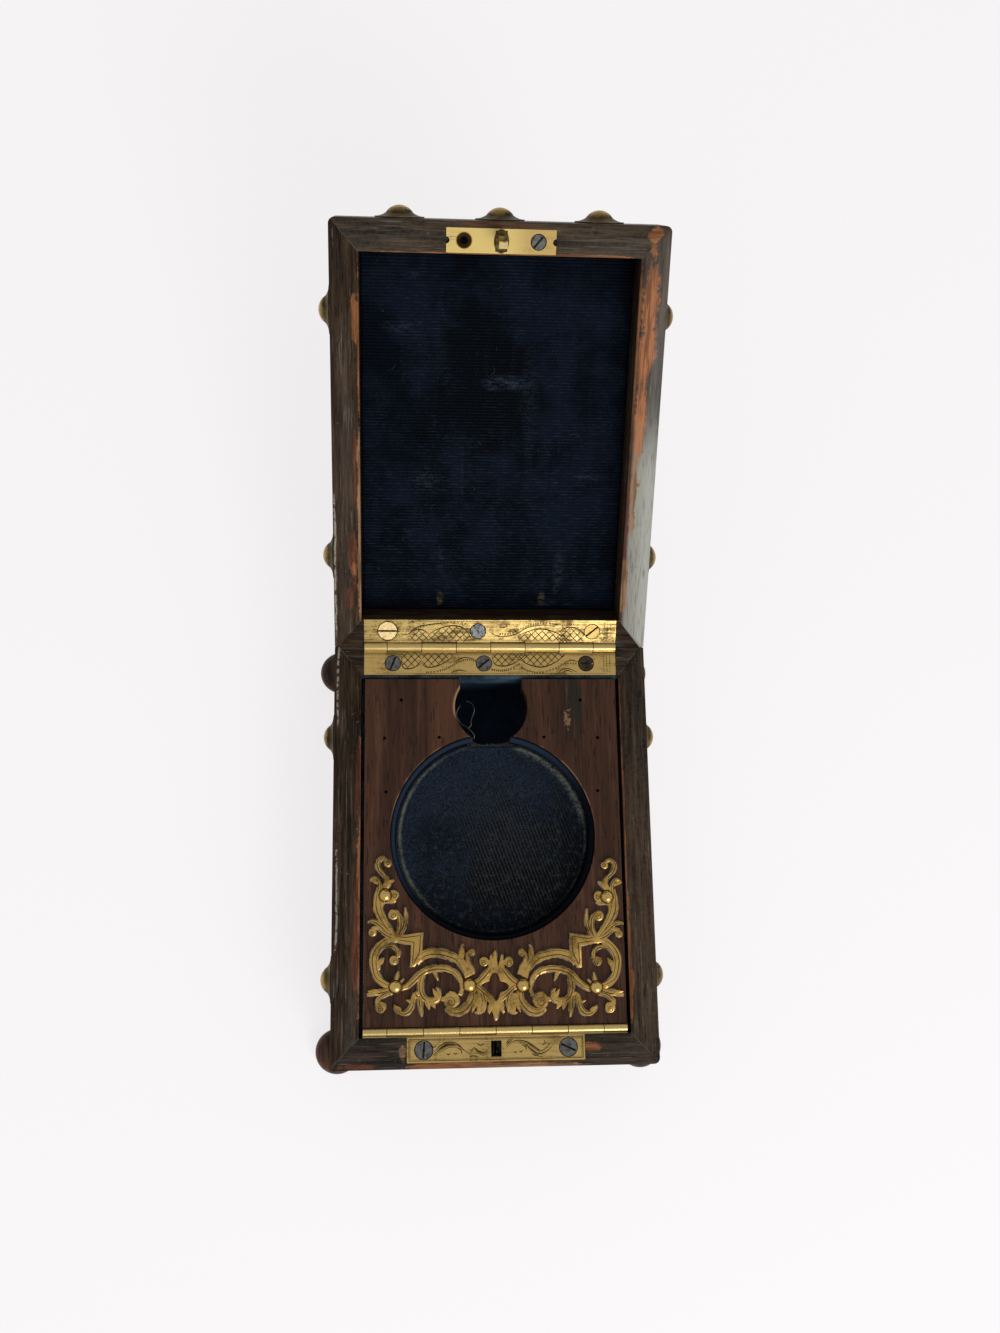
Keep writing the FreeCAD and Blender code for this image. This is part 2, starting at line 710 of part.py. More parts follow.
def save_well():
    front, back = inner_front, inner_back
    floor_top = floor_thickness + cloth
    rest = panel_bottom - panel_rest_gap
    save("well_floor_lining", block(-inner_x, inner_x, front, back, floor_thickness, floor_top))
    back_top = base_height - leaf_thickness
    save("well_back_lining", block(-inner_x, inner_x, back - cloth, back, floor_top, back_top))
    save("well_front_lining", block(-inner_x, inner_x, front, front + cloth, floor_top, panel_bottom))
    for side, x0 in (("left", -inner_x), ("right", inner_x - side_lining)):
        lining = block(x0, x0 + side_lining, front + cloth, back - cloth, floor_top, rest)
        save("well_" + side + "_lining", lining)


def save_lock():
    save("lock_plate", lock_plate())
    places = zip((-lock_screw_x, lock_screw_x), lock_slot_degs)
    save("lock_plate_screws", *[screw(x, lock_y, lock_screw_head_r, deg) for x, deg in places])
    save("lock_case", lock_case())
    save("lock_spring", lock_spring())
    save("lock_bolt", lock_bolt())
    save("keyhole_liner", key_liner())


def save_panel():
    save("watch_panel", watch_panel())
    save("recess_lining", recess_lining())
    save("cup_backing", cup_backing())
    save("watch_pad", watch_pad())
    thickness = panel_leaf_thickness
    save("panel_hinge_leaf", panel_leaf(panel_knuckle_r - thickness, panel_knuckle_r, 1))
    save("rail_hinge_leaf", panel_leaf(-panel_axis_offset, thickness - panel_axis_offset, 0))
    pin_start = Vector(-panel_half, panel_axis_y, panel_axis_z)
    save("panel_hinge_pin", rod(pin_start, X, panel_pin_r, 2 * panel_half))
    save("scroll_fretwork", *fretwork())
    save("dome_nails", *on_nails(dome_nail))


def save_lid():
    board_top = lid_bottom + lid_board
    walls = tray_walls(board_top)
    y = leaf_screw_y()
    screw_x = leaf_screw_x(lid_screw_insets, lid_middle_screw_x)
    heads = (big_screw_head_r, screw_head_r, screw_head_r)
    rooms = [screw_room(x, y, r) for x, r in zip(screw_x, heads)]
    walls["back"] = cut_all(walls["back"], [leaf_pocket()] + rooms)
    walls["front"] = cut_all(walls["front"], strike_rooms())
    for side, wall in walls.items():
        save("lid_" + side + "_wall", open_lid(wall))
    board = rounded_plan(lid_bottom, board_top)
    outer_face = min(board.Faces, key=lambda face: face.CenterOfMass.z)
    save("lid_board", open_lid(board.makeFillet(lid_edge_round, outer_face.Edges)))
    reach = inner_x - lid_pad_gap
    front, back = inner_front + lid_pad_gap, inner_back - lid_pad_gap
    pad = block(-reach, reach, front, back, board_top, board_top + lid_pad)
    top_face = max(pad.Faces, key=lambda face: face.CenterOfMass.z)
    save("lid_velvet_pad", open_lid(pad.makeFillet(lid_pad_round, top_face.Edges)))
    leaf = hinge_leaf(lid_leaf_plate(), axis_y, axis_z, lid_knuckle_r, lid_pin_r, 2 * hinge_half, 1)
    save("lid_hinge_leaf", open_lid(cut_all(leaf, rooms)))
    screws = [screw(x, y, r, deg) for x, r, deg in zip(screw_x, heads, lid_slot_degs)]
    left, middle, right = [open_lid(shape) for shape in screws]
    save("lid_hinge_brass_screws", left, right)
    save("lid_hinge_steel_screw", middle)
    pin_start = Vector(-hinge_half, axis_y, axis_z)
    save("lid_hinge_pin", rod(pin_start, X, lid_pin_r, 2 * hinge_half))
    drop = base_height - lid_boss_drop
    fronts = [boss_on_front(i * boss_front_pitch, drop) for i in (-1, 0, 1)]
    save("lid_front_bosses", *[open_lid(shape) for shape in fronts])
    save("lid_side_bosses", *[open_lid(shape) for shape in side_bosses(drop)])
    save("strike_plate", open_lid(strike_plate()))
    save("strike_hook", open_lid(strike_hook()))
    save("strike_plate_screw", open_lid(screw(strike_screw_x, lock_y, strike_screw_head_r, strike_slot_deg)))


os.makedirs("parts", exist_ok=True)
save_base()
save_well()
save_lock()
save_panel()
save_lid()
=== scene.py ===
"""Looks of the travelling pocket-watch case: worn rosewood, engraved brass, steel, velvet and cloth."""

import json
import math
import random

import bmesh
import bpy
from mathutils import Euler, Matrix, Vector, noise


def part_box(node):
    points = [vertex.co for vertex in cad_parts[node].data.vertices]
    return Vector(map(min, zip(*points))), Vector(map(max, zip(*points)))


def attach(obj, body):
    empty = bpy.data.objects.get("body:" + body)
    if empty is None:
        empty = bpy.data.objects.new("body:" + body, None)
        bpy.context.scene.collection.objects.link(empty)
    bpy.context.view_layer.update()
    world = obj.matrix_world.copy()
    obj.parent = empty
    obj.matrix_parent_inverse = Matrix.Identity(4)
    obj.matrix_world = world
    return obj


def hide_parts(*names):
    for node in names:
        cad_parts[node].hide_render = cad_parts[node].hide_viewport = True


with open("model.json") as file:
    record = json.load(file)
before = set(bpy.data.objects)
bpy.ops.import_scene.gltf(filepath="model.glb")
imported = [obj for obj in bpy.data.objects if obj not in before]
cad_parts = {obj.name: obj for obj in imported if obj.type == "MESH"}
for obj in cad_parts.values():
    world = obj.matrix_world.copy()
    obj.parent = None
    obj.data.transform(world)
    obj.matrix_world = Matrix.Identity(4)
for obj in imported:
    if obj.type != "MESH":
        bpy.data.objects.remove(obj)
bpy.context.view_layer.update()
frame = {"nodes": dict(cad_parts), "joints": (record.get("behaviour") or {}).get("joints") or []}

MM = 0.001
NODES = frame["nodes"]
JOINTS = {joint["name"]: joint for joint in frame["joints"]}

# The photograph's frame and its fitted camera
IMAGE_HEIGHT_PX = 1333
FOCAL_PX = 1298.4
SENSOR_MM = 36.0
CAMERA_AT = Vector((-24.23, -27.35, 356.2)) * MM
CAMERA_TURN_DEG = (12.666, -4.3605, -0.9107)

# Places on the case, from the frame
X, Y, Z = Vector((1, 0, 0)), Vector((0, 1, 0)), Vector((0, 0, 1))
LID_AXIS = Vector(JOINTS["lid_hinge"]["pos_m"])
LID_OPEN = math.radians(-JOINTS["lid_hinge"]["range_deg"][0])
PANEL_AXIS = Vector(JOINTS["panel_hinge"]["pos_m"])
FLOOR_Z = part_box("bun_feet")[0].z
RIM_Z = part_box("base_left_wall")[1].z
PANEL_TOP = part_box("watch_panel")[1].z
FRET_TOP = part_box("scroll_fretwork")[1].z
LOCK_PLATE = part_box("lock_plate")
RECESS_LOW, RECESS_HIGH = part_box("recess_lining")
RECESS_R = RECESS_HIGH.x
RECESS_Y = RECESS_LOW.y + RECESS_R

# The same in millimetres, for the materials
HALF_WIDTH = -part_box("base_left_wall")[0].x / MM
HALF_DEPTH = -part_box("base_front_wall")[0].y / MM
INNER_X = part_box("base_floor")[1].x / MM
INNER_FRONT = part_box("base_floor")[0].y / MM
INNER_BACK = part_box("base_floor")[1].y / MM
RIM = RIM_Z / MM
SIDE_RAIL = HALF_WIDTH - INNER_X
FRONT_RAIL = HALF_DEPTH + INNER_FRONT
BACK_RAIL = HALF_DEPTH - INNER_BACK
LOCK_Y = (LOCK_PLATE[0].y + LOCK_PLATE[1].y) / 2 / MM

# What the frame doesn't give, as in the part's source: the empty screw hole, and the bow hole with its notch
STRIKE_HOLE_X = 8.9
BOW_Y, BOW_R = 36.7, 9.6
BOW_NOTCH_DEG = 11.2

# Sizes of the made details; those without MM are millimetres, shares or counts
WALL_BEVEL = 0.35 * MM
MITRE_AREA, WALL_FLAT_AREA = 20 * MM ** 2, 8 * MM ** 2
KNUCKLES, END_KNUCKLE_SHARE = 8, 0.66
LID_KNUCKLE_R, PANEL_KNUCKLE_R = 1.3, 1.0
SLOT_WIDTH, SLOT_GRIME_AND_SHADE, SLOT_SHARE = 0.5 * MM, 0.15 * MM, 0.96
HEAD_RING, HEAD_RING_SIDES = 0.22 * MM, 36
FRET_BEVEL, FRET_FLARE, FRET_DROP = 0.14 * MM, 0.2 * MM, 0.03 * MM
FRET_VEIN = 0.12 * MM
FRET_LEAN_DEG = 2.2
FRET_LINE = 0.26 * MM
# A broad and a fine line on each scroll: off its middle, as a share of its width, and the line's width
FRET_LINES = ((0.18, FRET_LINE), (-0.3, 0.15 * MM))
FRET_LEAF_STEPS, SPIRAL_STEPS, QUATREFOIL_STEPS = 7, 21, 72
GROOVE_PROUD, GROOVE_SUNK = 0.012 * MM, 0.04 * MM
LEAF_FOOT, LEAF_FAR = 1.5, 7.5
HATCH_PITCH, HATCH_LEAN, HATCH_REACH, HATCH_CLEAR = 1.9, 0.95, 6.0, 0.1
HATCH_STEP, HATCH_RUNGS, HATCH_LEAST = 0.1, 60, 5
STROKE_SLANTS, STROKE_DOWN, STROKE_UP = (-0.05, 0.22), 0.32, 0.28
ARCH_CUT, HATCH_CUT, WAVE_CUT, WRIGGLE_CUT = 0.34 * MM, 0.25 * MM, 0.28 * MM, 0.19 * MM
END_CUT, BORDER_CUT = 0.14 * MM, 0.12 * MM
LOCK_CUT, LOCK_SHADE = 0.3 * MM, 0.16 * MM
SHADE_RIGHT, SHADE_DOWN = 0.12, 0.36
# The lock plate's border lines: in from its edge in millimetres, and the line's width
LOCK_BORDERS = ((0.5, 0.2 * MM), (0.8, 0.1 * MM))
RIB_PITCH, RIB_DEPTH, RIB_WOBBLE = 0.8 * MM, 0.2 * MM, 0.12 * MM
VELVET_EDGE, VELVET_SWELL = 0.9 * MM, 0.14 * MM
CLOTH_EDGE, CLOTH_SWELL = 0.35 * MM, 0.08 * MM
# The twill's lines run across this direction
TWILL_ACROSS = (0.94, 0.34)
TWILL_PITCH, TWILL_DEPTH = 0.85 * MM, 0.03 * MM
CUSHION_R, CUSHION_BEAD = 25.15 * MM, 24.2 * MM
CUSHION_FALL, SKIRT_FALL, CUSHION_DENT = 0.8 * MM, 0.5 * MM, 0.1 * MM
BEAD_WIDTH, BEAD_HEIGHT = 0.45 * MM, 0.42 * MM
CUSHION_RINGS, BEAD_RINGS, BEAD_FROM, CUSHION_SPOKES = 70, 14, 0.92, 360
SLEEVE_GAP, SLEEVE_WAVE, SLEEVE_STEPS = 0.1 * MM, 0.12 * MM, 260
LID_HAIRS, PAD_HAIRS, LINT_CLEAR = 90, 40, 3 * MM
HAIR_STEPS, HAIR_LIFT, HAIR_ARCH = 6, 0.06 * MM, 0.1 * MM
FRAYS, FRAY_HALF, FRAY_IN, FRAY_DOWN = 60, 6.3, 0.5 * MM, 0.9 * MM
LINT_LENGTHS, LONG_HAIR = (0.4, 0.6, 0.9, 1.4), 3.0
LINT_R, PAD_LINT_R, FRAY_R, THREAD_R = 0.022 * MM, 0.025 * MM, 0.05 * MM, 0.065 * MM
# Threads pulled out of the lining's left end, beside the bow hole (mm)
LOOSE_THREADS = [
    [(-4.6, 28.6, 19.6), (-4.5, 29.6, 20.0), (-6.1, 31.4, 20.2), (-7.9, 32.5, 20.4), (-9.0, 34.4, 20.4),
     (-8.9, 36.0, 20.0), (-8.0, 37.6, 19.4)],
    [(-6.0, 31.3, 20.2), (-5.3, 32.2, 20.0), (-5.2, 33.7, 19.6), (-4.3, 36.3, 18.8), (-4.9, 38.2, 18.4),
     (-6.4, 38.9, 18.6)],
]

# Light: the room, the ground behind the case, the window and the floor
ROOM_LIGHT, ROOM_TINT = 0.4, (1.0, 0.985, 0.97)
PALE_GROUND = (0.913, 0.896, 0.905)
WINDOW_AT, WINDOW_AIM = Vector((0.38, -0.78, 0.52)), Vector((0, 0.03, 0.02))
WINDOW_SIZE, WINDOW_WATTS = (0.55, 0.5), 4.0
FLOOR_GREY, FLOOR_SHADE, FLOOR_REACH = (0.33, 0.33, 0.33), 0.16, 3.0

# The lid's own directions: along it from the hinge, and out of its rim
LID_ALONG = Vector((0, -math.cos(LID_OPEN), math.sin(LID_OPEN)))
LID_UP = Vector((0, -math.sin(LID_OPEN), -math.cos(LID_OPEN)))
LID_RIM_UP = RIM_Z - LID_AXIS.z


def lid_point(x, along, up):
    """A place in the open lid: along from the hinge axis, up from the axis out of the rim."""
    return LID_AXIS + X * x + LID_ALONG * along + LID_UP * up


# Node helpers

def maths(operation, swapped=False):
    """A method of Value that works on it, or on it and another value, by a maths node."""
    def method(self, other=0.0):
        pair = (other, self) if swapped else (self, other)
        return self.graph.math(operation, *pair)
    return method


class Value:
    """A shader value that can be added, multiplied and faded in code."""

    def __init__(self, graph, socket):
        self.graph = graph
        self.socket = socket

    __add__, __sub__, __rsub__ = maths("ADD"), maths("SUBTRACT"), maths("SUBTRACT", swapped=True)
    __mul__, __truediv__ = maths("MULTIPLY"), maths("DIVIDE")
    higher, size, sine, root = maths("MAXIMUM"), maths("ABSOLUTE"), maths("SINE"), maths("SQRT")

    def fade(self, low, high):
        """0 at low, 1 at high, smooth between."""
        inputs = {"Value": self, "From Min": low, "From Max": high}
        smooth = self.graph.node("MapRange", "Result", inputs, interpolation_type="SMOOTHSTEP")
        return Value(self.graph, smooth)


class Graph:
    """A material's nodes, with short names for the ones that are used here, and its colour so far."""

    def __init__(self, name):
        self.material = bpy.data.materials.new(name)
        self.material.use_nodes = True
        self.tree = self.material.node_tree
        self.shader = self.tree.nodes["Principled BSDF"]
        self.place = self.node("TexCoord", "Object", {})
        self.colour = None

    def link(self, source, socket):
        """Feeds a shader input from a value, another node's output, a number, a colour or a vector."""
        if isinstance(source, Value):
            source = source.socket
        if isinstance(source, bpy.types.NodeSocket):
            self.tree.links.new(source, socket)
        elif isinstance(source, tuple) and len(source) < len(socket.default_value):
            socket.default_value = source + (1.0,)
        else:
            socket.default_value = source

    def node(self, kind, output, inputs, **settings):
        """One output of a new node with these inputs and settings."""
        node = self.tree.nodes.new("ShaderNode" + kind)
        for name, value in settings.items():
            setattr(node, name, value)
        for name, source in inputs.items():
            self.link(source, node.inputs[name])
        return node.outputs[output]

    def math(self, operation, a, b):
        return Value(self, self.node("Math", 0, {0: a, 1: b}, operation=operation))

    def axes(self):
        """The three coordinates in millimetres."""
        node = self.tree.nodes.new("ShaderNodeSeparateXYZ")
        self.link(self.place, node.inputs[0])
        return [Value(self, output) * (1 / MM) for output in node.outputs]

    def lid_axes(self):
        """The same, with the place turned so that Y runs along the lid from its hinge and Z out of it."""
        shift = self.node("VectorMath", 0, {0: self.place, 1: tuple(LID_AXIS)}, operation="SUBTRACT")
        turn = (math.pi + LID_OPEN, 0, 0)
        self.place = self.node("Mapping", "Vector", {"Vector": shift, "Rotation": turn})
        return self.axes()

    def tray(self, lid):
        """Coordinates in millimetres in which lid and base are the same tray."""
        if not lid:
            return self.axes()
        x, along, up = self.lid_axes()
        return x, LID_AXIS.y / MM - along, up + LID_AXIS.z / MM

    def noise(self, scale, detail=4.0, rough=0.55, warp=0.0):
        """Cloudy noise; its scale in repeats to the metre is one number, or one for each axis."""
        place = self.place
        if isinstance(scale, tuple):
            place = self.node("Mapping", "Vector", {"Vector": place, "Scale": scale})
            scale = 1.0
        inputs = {"Vector": place, "Scale": scale, "Detail": detail, "Roughness": rough, "Distortion": warp}
        return Value(self, self.node("TexNoise", "Fac", inputs))

    def mix(self, share, a, b):
        return self.node("Mix", 2, {"Factor": share, 6: a, 7: b}, data_type="RGBA")

    def paint(self, share, tone):
        """Lays a tone over the colour so far."""
        self.colour = self.mix(share, self.colour, tone)

    def bump(self, height, depth, strength):
        inputs = {"Height": height, "Distance": depth, "Strength": strength}
        self.link(self.node("Bump", "Normal", inputs), self.shader.inputs["Normal"])

    def finish(self, **sockets):
        """The material in its colour so far; the shader's other inputs are given by their names."""
        self.link(self.colour, self.shader.inputs["Base Color"])
        for name, value in sockets.items():
            self.link(value, self.shader.inputs[name.replace("_", " ")])
        return self.material


def ring(u, v):
    """How far a place is from the middle."""
    return (u * u + v * v).root()


def oval(u, v, half_u, half_v):
    """0 in the middle of an oval, 1 on its edge."""
    return ring(u / half_u, v / half_v)


# Wood

BLACK_WOOD = (0.018, 0.0115, 0.0078)
DARK_WOOD = (0.076, 0.045, 0.0255)
STREAK = (0.15, 0.092, 0.053)
PORE = (0.006, 0.004, 0.003)
WORN = (0.42, 0.17, 0.07)
PALE = (0.5, 0.29, 0.15)
BARE = (0.64, 0.25, 0.105)
RED = (0.19, 0.065, 0.034)
BLOOM_AND_GLARE = (0.48, 0.48, 0.42)
CHIP = (0.45, 0.41, 0.35)
DUST = (0.24, 0.21, 0.17)

# Worn places of each wall: along it, out from its inner edge, half length, half width, colour (mm)
WALL_WEAR = {
    "lid_right": [(-34, 2.9, 14, 2.1, BARE), (-12, 2.0, 23, 1.5, BARE), (-26, 0.2, 26, 0.5, WORN),
                  (10, 1.5, 16, 0.9, PALE), (22, 0.1, 30, 0.7, RED), (36.8, 0.5, 7, 1.3, PALE)],
    "lid_left": [(-31.5, 0.9, 6, 0.9, WORN), (28, 2.0, 8, 1.2, RED), (32, 1.9, 1.8, 0.8, WORN),
                 (40, 2.9, 3, 0.8, RED), (4, 1.2, 12, 0.5, RED), (22, 0.1, 32, 0.6, PALE),
                 (-25, 0.0, 22, 0.4, WORN)],
    "lid_front": [(-8, 0.0, 27, 0.35, WORN), (22, 0.1, 12, 0.5, WORN), (37.4, 5.0, 1.5, 2.4, WORN),
                  (0, 6.9, 13, 0.3, RED)],
    "lid_back": [],
    "base_left": [(-8, 0.1, 40, 0.8, WORN), (-24, 1.0, 16, 0.8, RED), (16, 0.6, 10, 0.7, RED)],
    "base_right": [(2, 0.0, 46, 0.45, WORN), (-26, 0.2, 18, 0.7, WORN), (-33, 0.6, 3, 0.9, WORN)],
    "base_front": [(-3, 7.0, 22, 0.8, WORN), (9, 7.3, 14, 0.5, PALE), (-23.3, 3.6, 1.0, 2.6, PALE),
                   (24.0, 3.1, 2.4, 0.9, WORN), (-33, 6.8, 6, 0.6, RED)],
    "base_back": [],
}
# Where the outer edge is chipped: from and to along the wall, and in from the edge
WALL_CHIPS = {"lid_left": [(14, 48, 0.4)], "base_left": [(34, 52, 0.9), (-24, -1, 1.0)]}
# Walls with a film of old polish: its share and its colour
WALL_FILM = {"lid_front": (0.15, (0.2, 0.19, 0.14)), "base_right": (0.15, (0.2, 0.16, 0.13)),
             "base_front": (0.13, (0.08, 0.14, 0.15))}


def rosewood(g, bands, fibres):
    """The ground of all the rosewood but the panel's: black and brown bands with paler streaks."""
    g.colour = g.mix((bands * 0.55 + fibres * 0.45).fade(0.38, 0.62), BLACK_WOOD, DARK_WOOD)
    g.paint(fibres.fade(0.53, 0.72) * 0.42, STREAK)


def rail_wood(lid, side):
    """Dark rosewood with grain along the rail, rubbed through to orange wood where it was handled."""
    wall = ("lid_" if lid else "base_") + side
    g = Graph(wall + "_wood")
    x, y, z = g.tray(lid)
    long_x = side in ("front", "back")

    def grain(along, across, detail=5.0, warp=0.3):
        """Noise drawn out along the rail."""
        scale = (along, across, across) if long_x else (across, along, across)
        return g.noise(scale, detail, 0.62, warp)

    fibres = grain(60, 1000)
    pores = grain(170, 2600, 2.0)
    scratches = grain(70, 3600, 1.0, 1.2)
    blots = g.noise(110.0, 5.0, 0.62)
    fine = g.noise(900.0, 3.0, 0.6)
    rosewood(g, grain(14, 230), fibres)
    g.paint(pores.fade(0.56, 0.66) * 0.75, PORE)
    g.paint(scratches.fade(0.63, 0.69) * blots.fade(0.42, 0.56) * 0.55, DUST)
    if wall in WALL_FILM:
        share, film = WALL_FILM[wall]
        g.paint((fibres * 0.5 + fine * 0.5).fade(0.34, 0.58) * share, film)

    run = x if long_x else y
    out = {"front": INNER_FRONT - y, "back": y - INNER_BACK, "left": -INNER_X - x, "right": x - INNER_X}[side]
    rail = {"front": FRONT_RAIL, "back": BACK_RAIL}.get(side, SIDE_RAIL)
    rim = z.fade(RIM - 0.9, RIM - 0.3)
    # On the lid's right rail a grey bloom of old polish that is partly painted window glare, strongest
    # towards the hinge
    if wall == "lid_right":
        bloom_and_glare = (y.fade(-14, 8) * 0.9 + 0.1) * (fibres * 0.4 + blots * 0.6).fade(0.26, 0.46)
        bloom_and_glare = bloom_and_glare * out.fade(0.2, 1.6) * (pores.fade(0.7, 0.5) * 0.4 + 0.6)
        g.paint(bloom_and_glare * rim * 0.92, BLOOM_AND_GLARE)
    ragged = (fibres - 0.5) * 1.6 + (blots - 0.5) * 2.4 + (fine - 0.5) * 1.0
    for middle, off, half_run, half_out, tone in WALL_WEAR[wall]:
        reach = oval(run - middle, out - off, half_run, half_out) + ragged
        bare = g.mix((fibres * 0.6 + pores * 0.4).fade(0.42, 0.56), tuple(c * 0.45 for c in tone), tone)
        g.paint(reach.fade(1.1, 0.75) * rim * 0.92, bare)
    ends = [(x.size() - INNER_X) / SIDE_RAIL]
    if not long_x:
        ends = [(INNER_FRONT - y) / FRONT_RAIL, (y - INNER_BACK) / BACK_RAIL]
    for end in ends:
        mitre = (out / rail - end).fade(0.03, 0.0) * blots.fade(0.42, 0.6)
        g.paint(mitre * rim * 0.6, DUST)
    for start, stop, inset in WALL_CHIPS.get(wall, []):
        edge = (out - (rail - inset) + (blots - 0.5) * 1.4).size().fade(0.34, 0.1) * rim
        length = run.fade(start - 3, start) * run.fade(stop + 3, stop)
        g.paint(edge * length * (blots * 0.4 + fine * 0.6).fade(0.44, 0.54) * 0.9, CHIP)
    dust = fine.fade(0.64, 0.7) * blots.fade(0.48, 0.6)
    g.paint(dust * 0.4, DUST)
    g.bump(fibres * 0.5 - pores * 0.3 + fine * 0.4, 0.14 * MM, 0.6)
    gloss = 0.45 if wall == "lid_right" else 0.12
    return g.finish(Roughness=(blots * 0.25 + 0.3), Specular_IOR_Level=gloss)


def flat_wood(name, lid, warmth):
    """The same rosewood turned or laid flat, without the rims' wear; warmth is its share of red."""
    g = Graph(name)
    g.tray(lid)
    fibres = g.noise((1000, 60, 1000), 5.0, 0.62, 0.3)
    pores = g.noise((2600, 170, 2600), 2.0)
    blots = g.noise(60.0, 5.0, 0.62)
    rosewood(g, g.noise((180, 12, 180), 4.0, 0.6, 0.6), fibres)
    g.paint((blots.fade(0.4, 0.7) * fibres.fade(0.3, 0.6)) * warmth, RED)
    g.paint(pores.fade(0.56, 0.66) * 0.7, PORE)
    g.bump(fibres * 0.6 - pores * 0.4, 0.12 * MM, 0.55)
    return g.finish(Roughness=(blots * 0.25 + 0.3), Specular_IOR_Level=0.3)


def panel_wood():
    """The watch panel's redder rosewood, with pale rubbed edges round the recess and the bow hole."""
    g = Graph("panel_rosewood")
    x, y, z = g.axes()
    fibres = g.noise((1100, 55, 900), 6.0, 0.65, 0.4)
    bands = g.noise((210, 9, 190), 4.0, 0.6, 0.6)
    pores = g.noise((2400, 190, 900), 2.0, 0.5)
    blots = g.noise(130.0, 4.0, 0.6)
    fine = g.noise(1100.0, 3.0, 0.6)
    g.colour = g.mix(bands.fade(0.34, 0.66), (0.047, 0.0198, 0.0107), (0.108, 0.0435, 0.0228))
    g.paint(fibres.fade(0.5, 0.74) * 0.55, (0.16, 0.08, 0.046))
    g.paint(pores.fade(0.57, 0.67) * 0.7, (0.014, 0.007, 0.0045))
    ragged = (blots - 0.5) * 2.0 + (fibres - 0.5) * 1.6
    stain = oval(x - 22.2, y - 36.5, 3.0, 8.5) + ragged
    g.paint(stain.fade(1.2, 0.4) * 0.85, (0.022, 0.02, 0.015))
    scratch = oval(x - 19.9, y - 33.5, 1.0, 3.2) + ragged + (fine - 0.5) * 4.0
    g.paint(scratch.fade(0.8, 0.3) * 0.5, PALE)
    g.paint(fine.fade(0.68, 0.74) * blots.fade(0.5, 0.6) * 0.5, DUST)
    top = z.fade(PANEL_TOP / MM - 1.0, PANEL_TOP / MM - 0.1)
    bow = (ring(x, y - BOW_Y) - BOW_R).fade(0.75, 0.2) * x.fade(-5.0, -7.5) * y.fade(33.0, 36.0)
    g.paint(bow * top * 0.9, PALE)
    recess = (ring(x, y - RECESS_Y / MM) - RECESS_R / MM).fade(0.4, 0.1) * blots.fade(0.42, 0.56)
    g.paint(recess * top * y.fade(4.0, 14.0) * 0.6, PALE)
    g.bump(fibres * 0.5 - pores.fade(0.57, 0.67), 0.1 * MM, 0.5)
    return g.finish(Roughness=(fibres * 0.2 + 0.33), Specular_IOR_Level=0.22)


def plain_wood():
    """The plainer wood of the base board and of the cup's backing."""
    g = Graph("plain_wood")
    fibres = g.noise((700, 40, 700), 5.0, 0.6, 0.3)
    g.colour = g.mix(fibres.fade(0.3, 0.7), (0.05, 0.026, 0.014), (0.12, 0.066, 0.034))
    g.bump(fibres, 0.1 * MM, 0.5)
    return g.finish(Roughness=(fibres * 0.2 + 0.6), Specular_IOR_Level=0.2)


# Metal

# Dark brown for tarnish specks and dark joints, and for painted shade beside a hinge's barrel
SHADE_AND_TARNISH = (0.03, 0.018, 0.006)
RUBBED_BRASS = (0.95, 0.71, 0.29)
BRUSH_MARKS = (120, 3200, 3200)


def brass(name, bright, dark, tarnish, rough, lid=False, barrel=None, brush=0.35):
    """Worn brass, bright where rubbed and clouded with brown, with a share of brush marks; on a hinge leaf,
    painted shade lies beside the barrel.

    barrel gives a hinge's knuckle pitch, radius and axis.
    """
    g = Graph(name)
    x, y, z = g.tray(lid)
    clouds = g.noise(170.0, 5.0, 0.62)
    specks = g.noise(1500.0, 3.0, 0.6)
    brushed = g.noise(BRUSH_MARKS, 2.0)
    spread = clouds * (0.8 - 0.7 * brush) + specks * 0.2 + brushed * (0.7 * brush)
    share = spread.fade(0.6 - tarnish * 0.3, 0.76 - tarnish * 0.3)
    g.colour = g.mix(share, bright, dark)
    g.paint(brushed.fade(0.6, 0.7) * brush, dark)
    g.paint(specks.fade(0.66, 0.74) * 0.6, SHADE_AND_TARNISH)
    if barrel:
        pitch, radius, axis = barrel
        off = ring(y - axis.y / MM, z - axis.z / MM)
        near = off.fade(radius + 0.4, radius + 0.1)
        joint = (x * (math.pi / pitch)).sine().size().fade(0.05, 0.02)
        # Painted shade on the leaf along the barrel, where leaf and barrel meet
        g.paint(off.fade(radius + 1.3, radius + 0.2) * 0.6, SHADE_AND_TARNISH)
        g.paint(near * 0.85, RUBBED_BRASS)
        g.paint(joint * near * 0.85, SHADE_AND_TARNISH)
    waves = g.noise(75.0, 1.0)
    g.bump(specks * 0.4 + clouds * 0.3 + brushed * 0.3 + waves * 7.0, 0.06 * MM, 0.6)
    return g.finish(Metallic=1.0, Roughness=(share * 0.2 + rough))


def strike_brass():
    """The strike plate's brass: brown round the empty screw hole, and black painted shade in the hole round
    the hook.
    """
    g = Graph("strike_brass")
    x, y, _ = g.tray(True)
    clouds = g.noise(190.0, 5.0, 0.62)
    brushed = g.noise(BRUSH_MARKS, 2.0)
    bright = g.mix(x.fade(1.0, 8.0), (1.0, 0.76, 0.28), (0.74, 0.52, 0.19))
    share = (clouds * 0.7 + brushed * 0.3).fade(0.54, 0.74)
    g.colour = g.mix(share, bright, (0.4, 0.26, 0.085))
    across = y - LOCK_Y
    g.paint(oval(x + STRIKE_HOLE_X, across, 2.0, 2.0).fade(1.05, 0.85), (0.16, 0.085, 0.03))
    # Painted shade: black in the hole round the hook
    hole_shade = oval(x, across, 1.9, 2.9).fade(1.05, 0.85)
    g.paint(hole_shade, (0.012, 0.008, 0.004))
    g.bump(clouds * 0.5 + brushed * 0.5, 0.06 * MM, 0.5)
    return g.finish(Metallic=1.0, Roughness=(share * 0.2 + hole_shade * 0.2 + 0.44))


